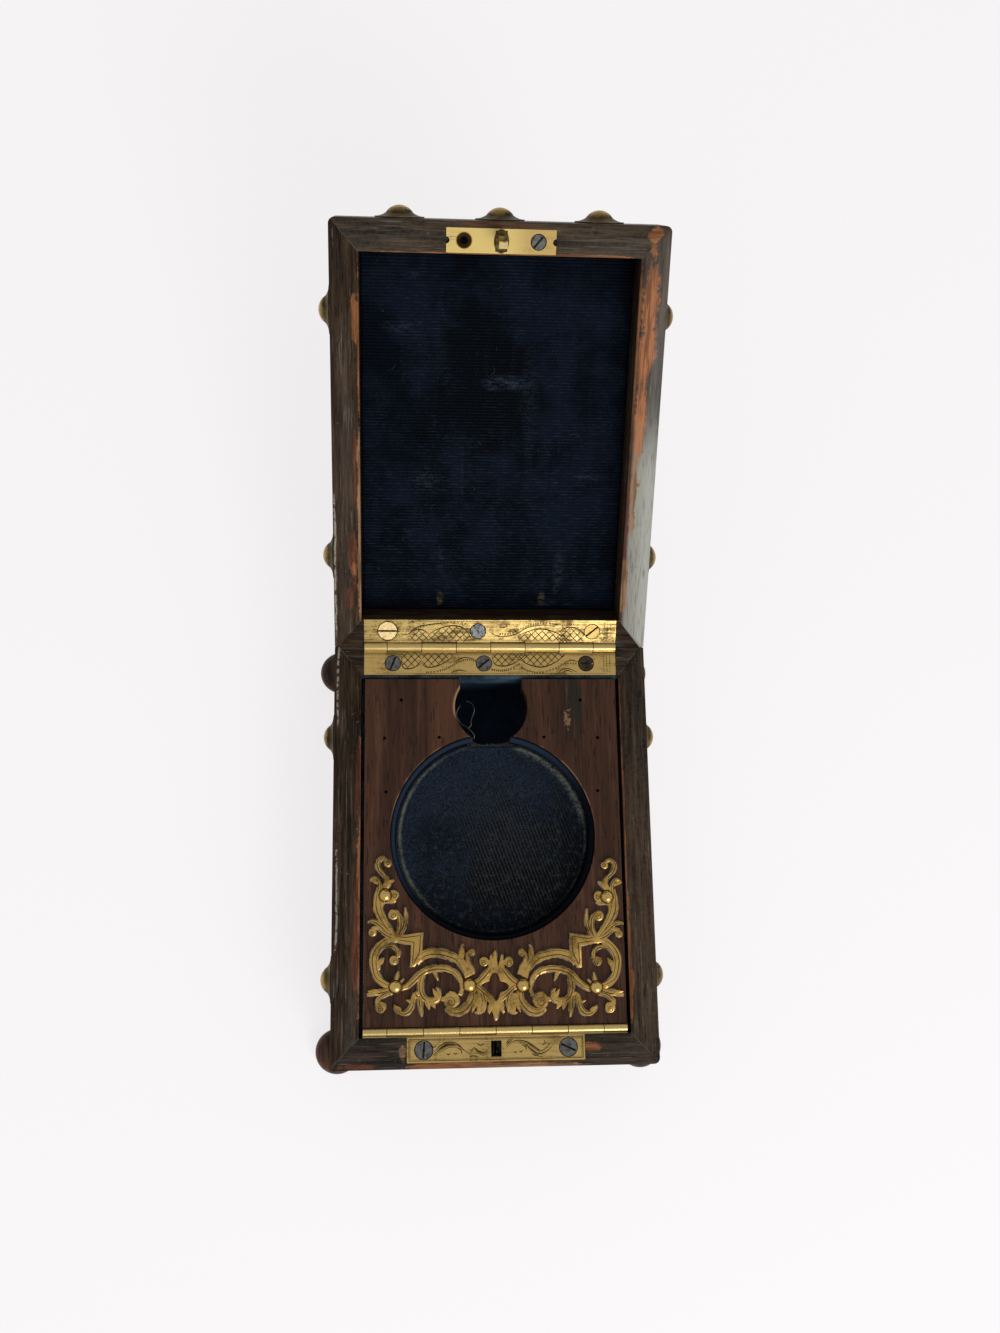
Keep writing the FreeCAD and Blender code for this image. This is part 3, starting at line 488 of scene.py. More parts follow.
def hook_brass():
    """The hook: black with tarnish and painted shade, but for a painted highlight on its toe."""
    g = Graph("hook_brass")
    _, y, z = g.tray(True)
    specks = g.noise(900.0, 3.0, 0.6)
    # A painted highlight on the hook's toe
    toe_highlight = ((y - LOCK_Y) + (specks - 0.5) * 0.8).fade(-0.4, 0.1) * z.fade(RIM + 4.0, RIM + 5.4)
    g.colour = g.mix(specks.fade(0.35, 0.65), (0.1, 0.07, 0.026), (0.26, 0.185, 0.07))
    g.paint(toe_highlight, (0.95, 0.74, 0.34))
    return g.finish(Metallic=1.0, Roughness=(specks * 0.2 + 0.3))


def screw_brass():
    """The lid hinge's brass screws: the left one bright, the right one brown."""
    g = Graph("screw_brass")
    x, _, _ = g.tray(True)
    specks = g.noise(900.0, 3.0, 0.6)
    g.colour = g.mix(x.fade(-5.0, 5.0), (1.0, 0.77, 0.37), (0.42, 0.28, 0.09))
    g.paint(specks.fade(0.52, 0.7) * 0.6, (0.26, 0.17, 0.055))
    g.bump(specks, 0.05 * MM, 0.5)
    return g.finish(Metallic=1.0, Roughness=(specks * 0.2 + 0.22))


def boss_brass(name, lid, on_front):
    """A boss: dark tarnish on its flange, rubbed gilt on its dome, with fine turned lines."""
    g = Graph(name)
    x, y, _ = g.tray(lid)
    height = -HALF_DEPTH - y if on_front else x.size() - HALF_WIDTH
    specks = g.noise(900.0, 4.0, 0.65)
    clouds = g.noise(260.0, 4.0, 0.6)
    gilt = (height + (clouds - 0.5) * 2.4).fade(1.2, 2.8)
    turned = (height * 14.0).sine().fade(0.6, 1.0)
    g.colour = g.mix(clouds.fade(0.35, 0.65), (0.055, 0.038, 0.014), (0.15, 0.105, 0.038))
    g.paint(gilt, (0.46, 0.31, 0.1))
    g.paint(turned * 0.5 + specks.fade(0.56, 0.72) * 0.5, (0.035, 0.024, 0.01))
    g.bump(specks * 0.5 - turned * 0.5, 0.08 * MM, 0.6)
    return g.finish(Metallic=1.0, Roughness=(0.55 - gilt * 0.2))


def steel(name, bright, dark, rough=0.38):
    """Dull steel with specks and file marks."""
    g = Graph(name)
    specks = g.noise(900.0, 4.0, 0.65)
    filed = g.noise((2600, 300, 600), 2.0)
    share = (specks * 0.7 + filed * 0.3).fade(0.42, 0.66)
    g.colour = g.mix(share, bright, dark)
    g.bump(specks, 0.06 * MM, 0.5)
    return g.finish(Metallic=0.9, Roughness=(share * 0.2 + rough))


def engraving():
    """The dark bottom of an engraved line."""
    g = Graph("engraved_line")
    specks = g.noise(1300.0, 3.0)
    g.colour = g.mix(specks.fade(0.35, 0.7), (0.045, 0.026, 0.008), (0.13, 0.08, 0.024))
    return g.finish(Roughness=(specks * 0.2 + 0.5), Metallic=0.4, Specular_IOR_Level=0.2)


# Cloth

def velvet_finish(g, pile):
    """Velvet in the colour so far, with a dull sheen."""
    g.bump(pile, 0.25 * MM, 0.8)
    return g.finish(Roughness=0.95, Specular_IOR_Level=0.06, Sheen_Weight=0.06, Sheen_Roughness=0.45,
                    Sheen_Tint=(0.2, 0.3, 0.6))


def ribbed_velvet():
    """The lid's ribbed velvet: navy, nearly black in its upper middle, with painted highlights in dashes
    along the rib crests.
    """
    g = Graph("lid_velvet_cloth")
    x, y, _ = g.lid_axes()
    pile = g.noise(2600.0, 3.0, 0.7)
    clouds = g.noise(75.0, 5.0, 0.62)
    dashes = g.noise((520, 1250, 260), 3.0, 0.6)
    brushed = g.noise((460, 45, 260), 3.0, 0.6)
    crest = (y * (2 * math.pi * MM / RIB_PITCH)).sine().fade(-0.3, 1.0)
    black = (oval(x + 6.0, y - 66.0, 16.0, 26.0) + (clouds - 0.5) * 3.0).fade(1.3, 0.4)
    g.colour = g.mix(clouds.fade(0.38, 0.62), (0.0022, 0.0038, 0.0075), (0.0066, 0.0115, 0.0235))
    g.paint(black * 0.9, (0.002, 0.0028, 0.0033))
    # Painted highlights along the rib crests, some in dashes
    g.paint(crest * 0.22, (0.012, 0.019, 0.035))
    crest_highlight = crest * dashes.fade(0.46, 0.66) * (clouds + y.fade(80.0, 15.0) * 0.2).fade(0.4, 0.68)
    g.paint(crest_highlight * 0.6, (0.026, 0.039, 0.068))
    g.paint(brushed.fade(0.52, 0.72) * crest * pile.fade(0.4, 0.6) * 0.5, (0.028, 0.042, 0.072))
    g.paint(pile.fade(0.56, 0.76) * 0.7, (0.022, 0.031, 0.05))
    g.paint(pile.fade(0.46, 0.32) * 0.6, (0.0014, 0.002, 0.0036))
    wisps = (dashes * 0.5 + pile * 0.5).fade(0.42, 0.62)
    for across, along, half_across, half_along, tone, strength in LID_WORN:
        spot = oval(x - across, y - along, half_across, half_along) + (clouds - 0.5) * 3.4
        g.paint(spot.fade(1.3, 0.1) * wisps * strength, tone)
    specks = g.noise(1500.0, 0.0)
    g.paint(specks.fade(0.88, 0.9) * 0.8, (0.07, 0.085, 0.11))
    return velvet_finish(g, pile)


def pad_velvet():
    """The cushion's velvet: worn to its twill in the middle, painted shade black at its lower right, its bead
    pale with wear and painted highlight.
    """
    g = Graph("pad_velvet")
    x, y, _ = g.axes()
    y = y - RECESS_Y / MM
    pile = g.noise(2400.0, 3.0, 0.7)
    tufts = g.noise(800.0, 4.0, 0.7)
    clouds = g.noise(75.0, 5.0, 0.62)
    lit = (y * 0.022 - x * 0.013 + (clouds - 0.5) * 1.3).fade(-0.6, 0.5)
    g.colour = g.mix(lit, (0.0028, 0.0036, 0.0048), (0.022, 0.034, 0.057))
    dip = oval(x + 13.0, y + 2.0, 9.0, 8.0) + (clouds - 0.5) * 2.0
    g.paint(dip.fade(1.2, 0.3) * 0.6, (0.005, 0.0075, 0.013))
    g.paint(tufts.fade(0.48, 0.68) * 0.7, (0.038, 0.049, 0.064))
    g.paint(pile.fade(0.55, 0.4) * 0.75, (0.003, 0.0042, 0.0065))
    across = x * TWILL_ACROSS[0] + y * TWILL_ACROSS[1]
    lines = (across * (2 * math.pi * MM / TWILL_PITCH)).sine().fade(0.0, 1.0)
    bare = oval(x - 4.0, y + 3.0, 14.0, 18.0) + (clouds - 0.5) * 3.0
    g.paint(lines * pile.fade(0.3, 0.55) * bare.fade(1.4, 0.0) * 0.7, (0.062, 0.053, 0.042))
    out, bead = ring(x, y), CUSHION_BEAD / MM
    # Painted light on the upper left of the cushion's fall beyond the bead
    skirt_light = out.fade(bead + 0.2, bead + 0.6) * (y * 0.05 - x * 0.06).fade(-0.4, 0.6)
    g.paint(skirt_light, (0.05, 0.075, 0.125))
    # The bead paler: wear together with painted highlights, broad at the left and upper right, elsewhere
    # lighter towards the top
    edge = (out - bead).size()
    left = edge.fade(1.0, 0.15) * x.fade(-10.0, -17.0) * y.fade(-22.0, -12.0)
    right = edge.fade(1.9, 0.2) * (x * 0.6 + y * 0.8).fade(15.0, 20.0) * x.fade(4.0, 9.0)
    rest = edge.fade(0.55, 0.1) * (y.fade(-18.0, 6.0) * 0.4 + 0.06)
    broken = (pile * 0.35 + tufts * 0.4 + clouds * 0.25).fade(0.38, 0.6)
    g.paint(left.higher(right).higher(rest) * broken, (0.16, 0.175, 0.14))
    return velvet_finish(g, pile)


def sleeve_velvet():
    """The recess wall's velvet: blue where its nap catches light at the left and top, black at the right."""
    g = Graph("recess_velvet")
    x, y, _ = g.axes()
    pile = g.noise(2400.0, 3.0, 0.7)
    clouds = g.noise(120.0, 4.0, 0.6)
    lit = ((y - RECESS_Y / MM) * 0.045 - x * 0.03 + (clouds - 0.5) * 0.6).fade(-0.5, 0.7)
    g.colour = g.mix(lit, (0.0035, 0.0045, 0.008), (0.022, 0.036, 0.066))
    g.paint(pile.fade(0.55, 0.75) * lit * 0.5, (0.05, 0.066, 0.09))
    return velvet_finish(g, pile)


def lining_cloth():
    """The well's blue lining, paler where it turns over at the top."""
    g = Graph("lining_cloth")
    z = g.axes()[2]
    pile = g.noise(1800.0, 3.0, 0.7)
    clouds = g.noise(90.0, 4.0, 0.6)
    g.colour = g.mix((pile * 0.4 + clouds * 0.6).fade(0.4, 0.62), (0.008, 0.015, 0.027), (0.018, 0.034, 0.06))
    g.paint(z.fade(13.0, 18.0) * (clouds + pile * 0.3).fade(0.45, 0.8), (0.075, 0.13, 0.185))
    return velvet_finish(g, pile)


def dull_stuff(name, dark, light):
    """A dull mottled stuff: dust, thread, dirt with painted shade, or residue with painted highlight and
    shade.
    """
    g = Graph(name)
    g.colour = g.mix(g.noise(500.0, 2.0).fade(0.35, 0.65), dark, light)
    return g.finish(Roughness=0.9, Specular_IOR_Level=0.1)


# Mesh helpers

def placed(name, data):
    """A new object in the scene."""
    thing = bpy.data.objects.new(name, data)
    bpy.context.scene.collection.objects.link(thing)
    return thing


def new_piece(name, bm, material, body, smooth_deg=None, flat_area=None):
    """A mesh that rides on a body; smooth below an angle, but for faces larger than flat_area."""
    bmesh.ops.recalc_face_normals(bm, faces=bm.faces)
    mesh = bpy.data.meshes.new(name)
    bm.to_mesh(mesh)
    bm.free()
    mesh.materials.append(material)
    if smooth_deg:
        for polygon in mesh.polygons:
            polygon.use_smooth = not flat_area or polygon.area < flat_area
        mesh.set_sharp_from_angle(angle=math.radians(smooth_deg))
    piece = placed(name, mesh)
    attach(piece, body)
    return piece


def dress(material, *nodes):
    """Gives CAD nodes a material."""
    for node in nodes:
        mesh = NODES[node].data
        mesh.materials.clear()
        mesh.materials.append(material)


def copied(node):
    """A CAD node's mesh with its doubled points joined."""
    bm = bmesh.new()
    bm.from_mesh(NODES[node].data)
    bmesh.ops.remove_doubles(bm, verts=bm.verts, dist=1e-6)
    return bm


def extent(points, direction):
    """The least and the most that points reach along a direction."""
    reach = [point.dot(direction) for point in points]
    return min(reach), max(reach)


def rounded_wall(node, material, body):
    """A copy of a wall that stands for its node, with sharp edges rubbed round except at its mitres."""
    bm = copied(node)
    bmesh.ops.dissolve_limit(bm, angle_limit=math.radians(1.0), verts=bm.verts, edges=bm.edges)
    along = LID_ALONG if body == "lid" else Y

    def mitred(face):
        skew = min(abs(face.normal.x), abs(face.normal.dot(along)))
        return skew > 0.3 and face.calc_area() > MITRE_AREA

    sharp = [e for e in bm.edges if len(e.link_faces) == 2 and e.calc_face_angle(0) > math.radians(40)
             and not any(mitred(face) for face in e.link_faces)]
    bmesh.ops.bevel(bm, geom=sharp, offset=WALL_BEVEL, segments=2, profile=0.5, affect="EDGES",
                    clamp_overlap=True)
    bmesh.ops.triangulate(bm, faces=[f for f in bm.faces if len(f.verts) > 4])
    piece = new_piece(node + "_worn", bm, material, body, 35, WALL_FLAT_AREA)
    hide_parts(node)


def smoothed(points, steps=6):
    """More points on a smooth line through the given ones."""
    line = []
    for i in range(len(points) - 1):
        a, b, c, d = (points[max(i - 1, 0)], points[i], points[i + 1], points[min(i + 2, len(points) - 1)])
        for k in range(steps):
            t = k / steps
            line.append(tuple(0.5 * (2 * q + (r - p) * t + (2 * p - 5 * q + 4 * r - s) * t * t
                                     + (3 * q - p - 3 * r + s) * t ** 3) for p, q, r, s in zip(a, b, c, d)))
    return line + [tuple(points[-1])]


def skin(bm, rows, closed=False):
    """Faces over rows of points that each go once round a bar; its ends are capped, or joined if closed."""
    count = len(rows[0])
    pairs = list(zip(rows, rows[1:]))
    if closed:
        pairs.append((rows[-1], rows[0]))
    for a, b in pairs:
        for k in range(count):
            n = (k + 1) % count
            bm.faces.new((a[k], a[n], b[n], b[k]))
    if not closed:
        bm.faces.new(rows[0])
        bm.faces.new(rows[-1][::-1])


def heading(points, i, closed=False):
    """The direction of a line of points at one of them."""
    if closed:
        return points[(i + 1) % len(points)] - points[i - 1]
    return points[min(i + 1, len(points) - 1)] - points[max(i - 1, 0)]


def groove(bm, points, width, up, taper=0.3, closed=False):
    """One cut of the graver: a dark strip let into a plate, widest in its middle."""
    rows = []
    high, low = up * GROOVE_PROUD, up * -GROOVE_SUNK
    for i, point in enumerate(points):
        half = width / 2 * (taper + (1 - taper) * math.sin(math.pi * i / (len(points) - 1)))
        side = heading(points, i, closed).cross(up).normalized() * half
        corners = ((side, high), (-side, high), (-side, low), (side, low))
        rows.append([bm.verts.new(point + across + lift) for across, lift in corners])
    skin(bm, rows, closed)


def fibre(bm, points, radius):
    """A thin three-sided thread along points."""
    rows = []
    turns = [2 * math.pi * k / 3 for k in range(3)]
    for i, point in enumerate(points):
        run = heading(points, i).normalized()
        side = run.cross(Z if abs(run.z) < 0.9 else X).normalized()
        other = run.cross(side)
        offsets = [(side * math.cos(turn) + other * math.sin(turn)) * radius for turn in turns]
        rows.append([bm.verts.new(point + offset) for offset in offsets])
    skin(bm, rows)


def stops(length, edge, count):
    """Places along a length, closer together at its rounded ends."""
    near = [edge * s for s in (0.0, 0.12, 0.3, 0.6)]
    middle = [edge + (length - 2 * edge) * i / count for i in range(count + 1)]
    return near + middle + [length - s for s in reversed(near)]


def soft_board(origin, across, along, up, size, edge, counts, relief):
    """A closed board of cloth over stuffing: rounded at its edges, its face raised by relief(u, v)."""
    width, length, thickness = size
    bm = bmesh.new()
    grid = []
    for v in stops(length, edge, counts[1]):
        row = []
        for u in stops(width, edge, counts[0]):
            inset = min(u, width - u, v, length - v)
            drop = (1 - math.sqrt(max(0.0, 1 - max(0.0, 1 - inset / edge) ** 2))) * edge
            row.append(bm.verts.new(origin + across * u + along * v + up * (thickness - drop + relief(u, v))))
        grid.append(row)
    for low, high in zip(grid, grid[1:]):
        for j in range(len(low) - 1):
            bm.faces.new((low[j], low[j + 1], high[j + 1], high[j]))
    loop = grid[0] + [row[-1] for row in grid[1:]] + grid[-1][-2::-1] + [row[0] for row in grid[-2:0:-1]]
    feet = [bm.verts.new(v.co - up * (v.co - origin).dot(up)) for v in loop]
    for i in range(len(loop)):
        n = (i + 1) % len(loop)
        bm.faces.new((loop[i], feet[i], feet[n], loop[n]))
    bm.faces.new(feet[::-1])
    return bm


# Camera, light and floor

def camera():
    """The camera that was fitted to the photograph."""
    data = bpy.data.cameras.new("camera")
    data.sensor_width = SENSOR_MM
    data.lens = FOCAL_PX / IMAGE_HEIGHT_PX * SENSOR_MM
    data.clip_start = 0.01
    holder = placed("camera", data)
    holder.location = CAMERA_AT
    holder.rotation_euler = Euler([math.radians(a) for a in CAMERA_TURN_DEG])
    bpy.context.scene.camera = holder


def room():
    """An evenly lit room; the camera itself sees the ground's pale colour behind the case."""
    bpy.context.scene.view_settings.view_transform = "Standard"
    world = bpy.data.worlds.new("studio")
    world.use_nodes = True
    tree = world.node_tree
    light = tree.nodes["Background"]
    light.inputs["Color"].default_value = ROOM_TINT + (1,)
    light.inputs["Strength"].default_value = ROOM_LIGHT
    backdrop = tree.nodes.new("ShaderNodeBackground")
    backdrop.inputs["Color"].default_value = PALE_GROUND + (1,)
    seen = tree.nodes.new("ShaderNodeLightPath").outputs["Is Camera Ray"]
    choice = tree.nodes.new("ShaderNodeMixShader")
    for source, socket in zip((seen, light.outputs[0], backdrop.outputs[0]), choice.inputs):
        tree.links.new(source, socket)
    tree.links.new(choice.outputs[0], tree.nodes["World Output"].inputs[0])
    bpy.context.scene.world = world


def window():
    """One soft window in front and to the right."""
    light = bpy.data.lights.new("window", "AREA")
    light.shape = "RECTANGLE"
    light.size, light.size_y = WINDOW_SIZE
    light.energy = WINDOW_WATTS
    lamp = placed("window", light)
    lamp.location = WINDOW_AT
    lamp.rotation_euler = (WINDOW_AIM - WINDOW_AT).to_track_quat("-Z", "Y").to_euler()


def pale_floor():
    """A floor that glows nearly as pale as the ground behind the case, and takes its soft shadow."""
    mesh = bpy.data.meshes.new("floor")
    far = FLOOR_REACH
    corners = [(x, y, FLOOR_Z) for x, y in ((-far, -far), (far, -far), (far, far), (-far, far))]
    mesh.from_pydata(corners, [], [(0, 1, 2, 3)])
    g = Graph("pale_floor")
    g.colour = FLOOR_GREY
    glow = tuple(c - FLOOR_SHADE for c in PALE_GROUND)
    mesh.materials.append(g.finish(Roughness=0.9, Specular_IOR_Level=0.0, Emission_Color=glow,
                                   Emission_Strength=1.0))
    floor = placed("floor", mesh)


# Woodwork

for side in ("front", "back", "left", "right"):
    rounded_wall(f"base_{side}_wall", rail_wood(False, side), "base")
    rounded_wall(f"lid_{side}_wall", rail_wood(True, side), "lid")
dress(flat_wood("lid_board_wood", True, 0.4), "lid_board")
dress(flat_wood("foot_wood", False, 0.6), "bun_feet")
dress(panel_wood(), "watch_panel")
dress(plain_wood(), "base_floor", "cup_backing")

# Metal fittings

def knuckle_pitch(leaf):
    """From one joint of a hinge's barrel to the next, in millimetres."""
    low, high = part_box(leaf)
    return (high.x - low.x) / MM / (KNUCKLES - 2 + 2 * END_KNUCKLE_SHARE)


LID_BARREL = (knuckle_pitch("base_hinge_leaf"), LID_KNUCKLE_R, LID_AXIS)
PANEL_BARREL = (knuckle_pitch("panel_hinge_leaf"), PANEL_KNUCKLE_R, PANEL_AXIS)
PLATE_TONES = ((0.9, 0.62, 0.22), (0.36, 0.235, 0.075))
PLATE = brass("brass_plate", *PLATE_TONES, 0.42, 0.3)
BASE_BRASS = brass("base_leaf_brass", *PLATE_TONES, 0.42, 0.3, False, LID_BARREL)
LID_BRASS = brass("lid_leaf_brass", (0.64, 0.455, 0.165), (0.13, 0.082, 0.026), 0.5, 0.3, True, LID_BARREL)
FRET = brass("brass_fret", (0.8, 0.51, 0.155), (0.33, 0.2, 0.056), 0.46, 0.36, brush=0.08)
BARREL = brass("brass_barrel", (1.0, 0.78, 0.34), (0.62, 0.44, 0.16), 0.2, 0.34, False, PANEL_BARREL)
NAIL = brass("brass_nail", (0.95, 0.66, 0.23), (0.5, 0.33, 0.1), 0.35, 0.24)
STEEL = steel("steel", (0.24, 0.245, 0.24), (0.07, 0.066, 0.062))
RUST = steel("corroded_steel", (0.11, 0.085, 0.06), (0.03, 0.022, 0.016), 0.6)
CUT = engraving()
# Pale polish residue and painted highlight, mottled with dark painted shade, for the fretwork's foot
RESIDUE_HIGHLIGHT_AND_SHADE = dull_stuff("residue_highlight_and_shade", (0.035, 0.022, 0.01), (0.5, 0.46, 0.36))
# Dark dirt with painted shade, for screw slots and the joints round screw heads
GRIME_AND_SHADE = dull_stuff("grime_and_shade", (0.006, 0.005, 0.004), (0.03, 0.024, 0.018))
SCREW_BRASS = screw_brass()
dress(BASE_BRASS, "base_hinge_leaf")
dress(LID_BRASS, "lid_hinge_leaf")
dress(PLATE, "lock_plate", "keyhole_liner")
dress(strike_brass(), "strike_plate")
dress(hook_brass(), "strike_hook")
dress(SCREW_BRASS, "lid_hinge_brass_screws")
dress(BARREL, "panel_hinge_leaf", "rail_hinge_leaf")
dress(NAIL, "dome_nails")
dress(RUST, "base_hinge_dark_screw")
dress(STEEL, "base_hinge_screws", "lid_hinge_steel_screw", "lock_plate_screws", "strike_plate_screw",
      "lock_case", "lock_bolt", "lock_spring", "lid_hinge_pin", "panel_hinge_pin")
dress(boss_brass("base_boss_brass", False, False), "base_side_bosses")
dress(boss_brass("lid_boss_brass", True, False), "lid_side_bosses")
dress(boss_brass("front_boss_brass", True, True), "lid_front_bosses")

# The turn of each screw's slot, from left to right in its node; none where the slot is clean or filled
BASE_SLOTS = {"base_hinge_screws": (68, 40), "base_hinge_dark_screw": (None,), "lock_plate_screws": (85, -25)}
LID_SLOTS = {"lid_hinge_brass_screws": (0, -40), "lid_hinge_steel_screw": (None,),
             "strike_plate_screw": (-50,)}


def turned_screws(node, material):
    """A lid node's screws, with their slots leaning the other way."""
    bm = copied(node)
    near, far = extent([v.co for v in bm.verts], LID_ALONG)
    for vert in bm.verts:
        vert.co -= LID_ALONG * 2 * (vert.co.dot(LID_ALONG) - (near + far) / 2)
    piece = new_piece(node + "_turned", bm, material, "lid", 30)
    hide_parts(node)


def solids_of(node):
    """The separate solids of a CAD node, each as its points, from left to right."""
    bm = copied(node)
    unseen = set(bm.verts)
    parts = []
    while unseen:
        queue = [unseen.pop()]
        part = []
        while queue:
            vert = queue.pop()
            part.append(vert.co.copy())
            near = {edge.other_vert(vert) for edge in vert.link_edges} & unseen
            unseen -= near
            queue.extend(near)
        parts.append(part)
    bm.free()
    return sorted(parts, key=lambda part: (min(p.x for p in part), min(p.y for p in part)))


def head_of(part, along, up):
    """The middle of a fastener's head, on its top, and the head's radius."""
    left, right = extent(part, X)
    near, far = extent(part, along)
    return X * (left + right) / 2 + along * (near + far) / 2 + up * extent(part, up)[1], (right - left) / 2


def spoke(degrees, along):
    """The direction at an angle from X towards another direction."""
    angle = math.radians(degrees)
    return X * math.cos(angle) + along * math.sin(angle)


def head_ring(bm, centre, radius, along, up):
    """Dirt and painted shade in the joint round a fastener's head."""
    angles = [360 * k / HEAD_RING_SIDES for k in range(HEAD_RING_SIDES)]
    rim = [centre + spoke(angle, along) * (radius + HEAD_RING / 3) for angle in angles]
    groove(bm, rim, HEAD_RING, up, 1.0, closed=True)


def screw_slots(name, body, slots, along, up):
    """Dirt and painted shade lying in the slots of a body's screws and round their heads."""
    bm = bmesh.new()
    for node, turns in slots.items():
        for part, turn in zip(solids_of(node), turns):
            centre, head_r = head_of(part, along, up)
            head_ring(bm, centre, head_r, along, up)
            if turn is not None:
                floor, arm = centre - up * SLOT_GRIME_AND_SHADE, spoke(turn, along) * head_r * SLOT_SHARE
                groove(bm, [floor - arm, floor, floor + arm], SLOT_WIDTH, up, 1.0)
    new_piece(name, bm, GRIME_AND_SHADE, body)


def fretwork():
    """The fretwork with its upper edges filed to a bevel, and its foot flared out and mottled with pale
    polish residue, painted highlight and dark painted shade.
    """
    bm = copied("scroll_fretwork")
    level = FRET_TOP - 0.01 * MM
    top = [f for f in bm.faces if f.normal.z > 0.9 and min(v.co.z for v in f.verts) > level]
    bmesh.ops.inset_region(bm, faces=top, thickness=FRET_BEVEL, use_even_offset=True, use_boundary=True)
    for vert in bm.verts:
        if vert.co.z > level and any(abs(f.normal.z) < 0.1 for f in vert.link_faces):
            vert.co.z -= FRET_BEVEL
    for face in bm.faces:
        face.material_index = int(abs(face.normal.z) < 0.3)
    for vert in bm.verts:
        walls = [f.normal for f in vert.link_faces if f.material_index]
        if walls and vert.co.z < PANEL_TOP + FRET_BEVEL:
            outward = sum(walls, Vector())
            outward.z = 0
            vert.co += outward.normalized() * FRET_FLARE
    piece = new_piece("fretwork_filed", bm, FRET, "panel", 25)
    piece.data.materials.append(RESIDUE_HIGHLIGHT_AND_SHADE)
    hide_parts("scroll_fretwork")


# Graver's lines on the fretwork, for one half: (across, up, band width) from the middle of the panel hinge
FRET_TRACKS = [
    [(27.3, 41.9, 0.9), (28.3, 42.7, 1.0), (29.5, 41.6, 1.1), (29.0, 39.7, 1.1), (27.7, 38.2, 1.1),
     (28.1, 35.2, 1.3)],
    [(30.1, 37.7, 0.9), (29.1, 36.6, 1.0), (29.3, 34.0, 1.2)],
    [(29.1, 35.4, 1.2), (29.5, 32.6, 1.9), (29.4, 30.3, 2.3), (28.6, 28.0, 2.1), (27.2, 25.8, 1.7),
     (25.2, 23.2, 1.5)],
    [(31.9, 26.9, 0.4), (30.3, 27.0, 1.0), (28.6, 25.9, 1.2), (26.4, 23.8, 1.3)],
    [(29.3, 25.3, 1.0), (27.4, 23.8, 1.2), (25.4, 22.9, 1.4)],
    [(24.9, 22.8, 1.5), (23.9, 25.4, 1.3), (24.0, 28.0, 1.2), (25.2, 29.4, 1.0)],
    [(22.4, 28.0, 0.9), (22.9, 25.5, 1.0), (24.4, 23.0, 1.0)],
    [(25.4, 23.0, 1.5), (28.5, 21.3, 1.9), (30.2, 18.7, 2.1), (30.3, 15.9, 1.9), (29.2, 13.0, 1.8),
     (25.0, 11.0, 1.5)],
    [(28.6, 20.3, 0.9), (26.2, 21.0, 1.0), (24.8, 20.2, 1.1), (24.4, 18.0, 1.1)],
    [(30.3, 9.6, 1.5), (28.3, 9.8, 1.5), (25.4, 10.6, 1.3)],
    [(25.8, 9.6, 1.0), (28.0, 8.9, 1.1), (29.4, 7.5, 1.2)],
    [(19.9, 17.0, 2.2), (18.0, 18.5, 2.2), (15.4, 19.1, 2.2), (12.2, 18.6, 2.2), (9.3, 17.2, 2.2),
     (6.8, 13.0, 1.9)],
    [(25.2, 10.9, 1.2), (22.6, 10.8, 1.3), (20.5, 12.3, 1.5), (18.3, 14.3, 1.6), (15.6, 15.2, 1.6),
     (12.7, 15.2, 1.6), (10.0, 14.0, 1.4), (8.5, 11.6, 1.1)],
    [(18.2, 13.9, 1.4), (18.8, 10.6, 1.5), (18.0, 8.3, 1.4), (16.2, 7.4, 1.5), (14.5, 8.0, 1.6)],
    [(18.9, 8.6, 1.5), (18.7, 5.4, 1.1)],
    [(24.4, 5.1, 0.9), (22.8, 4.5, 1.2), (21.2, 5.6, 1.4), (20.6, 7.8, 1.4)],
    [(12.2, 5.8, 1.5), (10.6, 4.7, 1.9), (8.5, 4.9, 2.1), (6.7, 6.5, 1.9), (5.8, 8.5, 1.7), (6.4, 11.0, 1.5)],
    [(6.2, 11.0, 1.6), (4.0, 12.1, 1.5), (2.2, 13.9, 1.3), (1.2, 15.4, 1.2)],
    [(6.0, 11.2, 1.5), (4.1, 10.3, 1.2), (2.2, 8.6, 1.3), (1.0, 7.4, 1.3)],
    [(3.7, 4.8, 1.2), (2.9, 6.9, 1.4), (3.5, 9.3, 1.2)],
]
# Lines on its flat straps: (across, up)
STRAP_LINES = [
    [(24.0, 23.05), (22.4, 22.95), (18.75, 23.35), (18.95, 19.4), (20.5, 16.4)],
    [(24.2, 22.35), (20.35, 21.7), (20.75, 16.5)],
]


def on_fret(across, up, side):
    """A place on the fretwork's face; its right half sits a little askew."""
    lean = math.radians(-FRET_LEAN_DEG) if side > 0 else 0.0
    x = side * across * math.cos(lean) - up * math.sin(lean)
    y = side * across * math.sin(lean) + up * math.cos(lean)
    return Vector((x * MM, PANEL_AXIS.y + y * MM, FRET_TOP))


# Leaves that the fretwork's scrolls end in, for one half: foot, tip and width
FRET_LEAVES = [
    [(4.2, 9.0), (6.0, 4.4), 1.5], [(3.8, 8.4), (4.5, 3.9), 1.5], [(3.0, 7.4), (2.9, 4.3), 1.2],
    [(1.0, 6.9), (1.7, 3.9), 1.2], [(16.2, 7.6), (15.1, 5.5), 1.3], [(17.2, 7.9), (16.6, 5.2), 1.4],
    [(14.6, 8.2), (15.7, 10.4), 1.0], [(21.0, 7.2), (22.4, 7.7), 0.8], [(29.0, 9.9), (31.9, 10.0), 1.0],
    [(23.6, 5.2), (25.2, 6.4), 0.9], [(10.0, 8.3), (11.6, 9.6), 1.3], [(12.6, 8.0), (13.7, 7.4), 1.2],
    [(8.4, 17.6), (7.9, 20.2), 1.0], [(0.5, 15.4), (1.3, 18.0), 0.9], [(28.8, 16.4), (27.8, 18.2), 0.9],
    [(29.0, 36.4), (31.4, 37.2), 0.9], [(28.0, 36.0), (26.0, 37.3), 0.9],
]
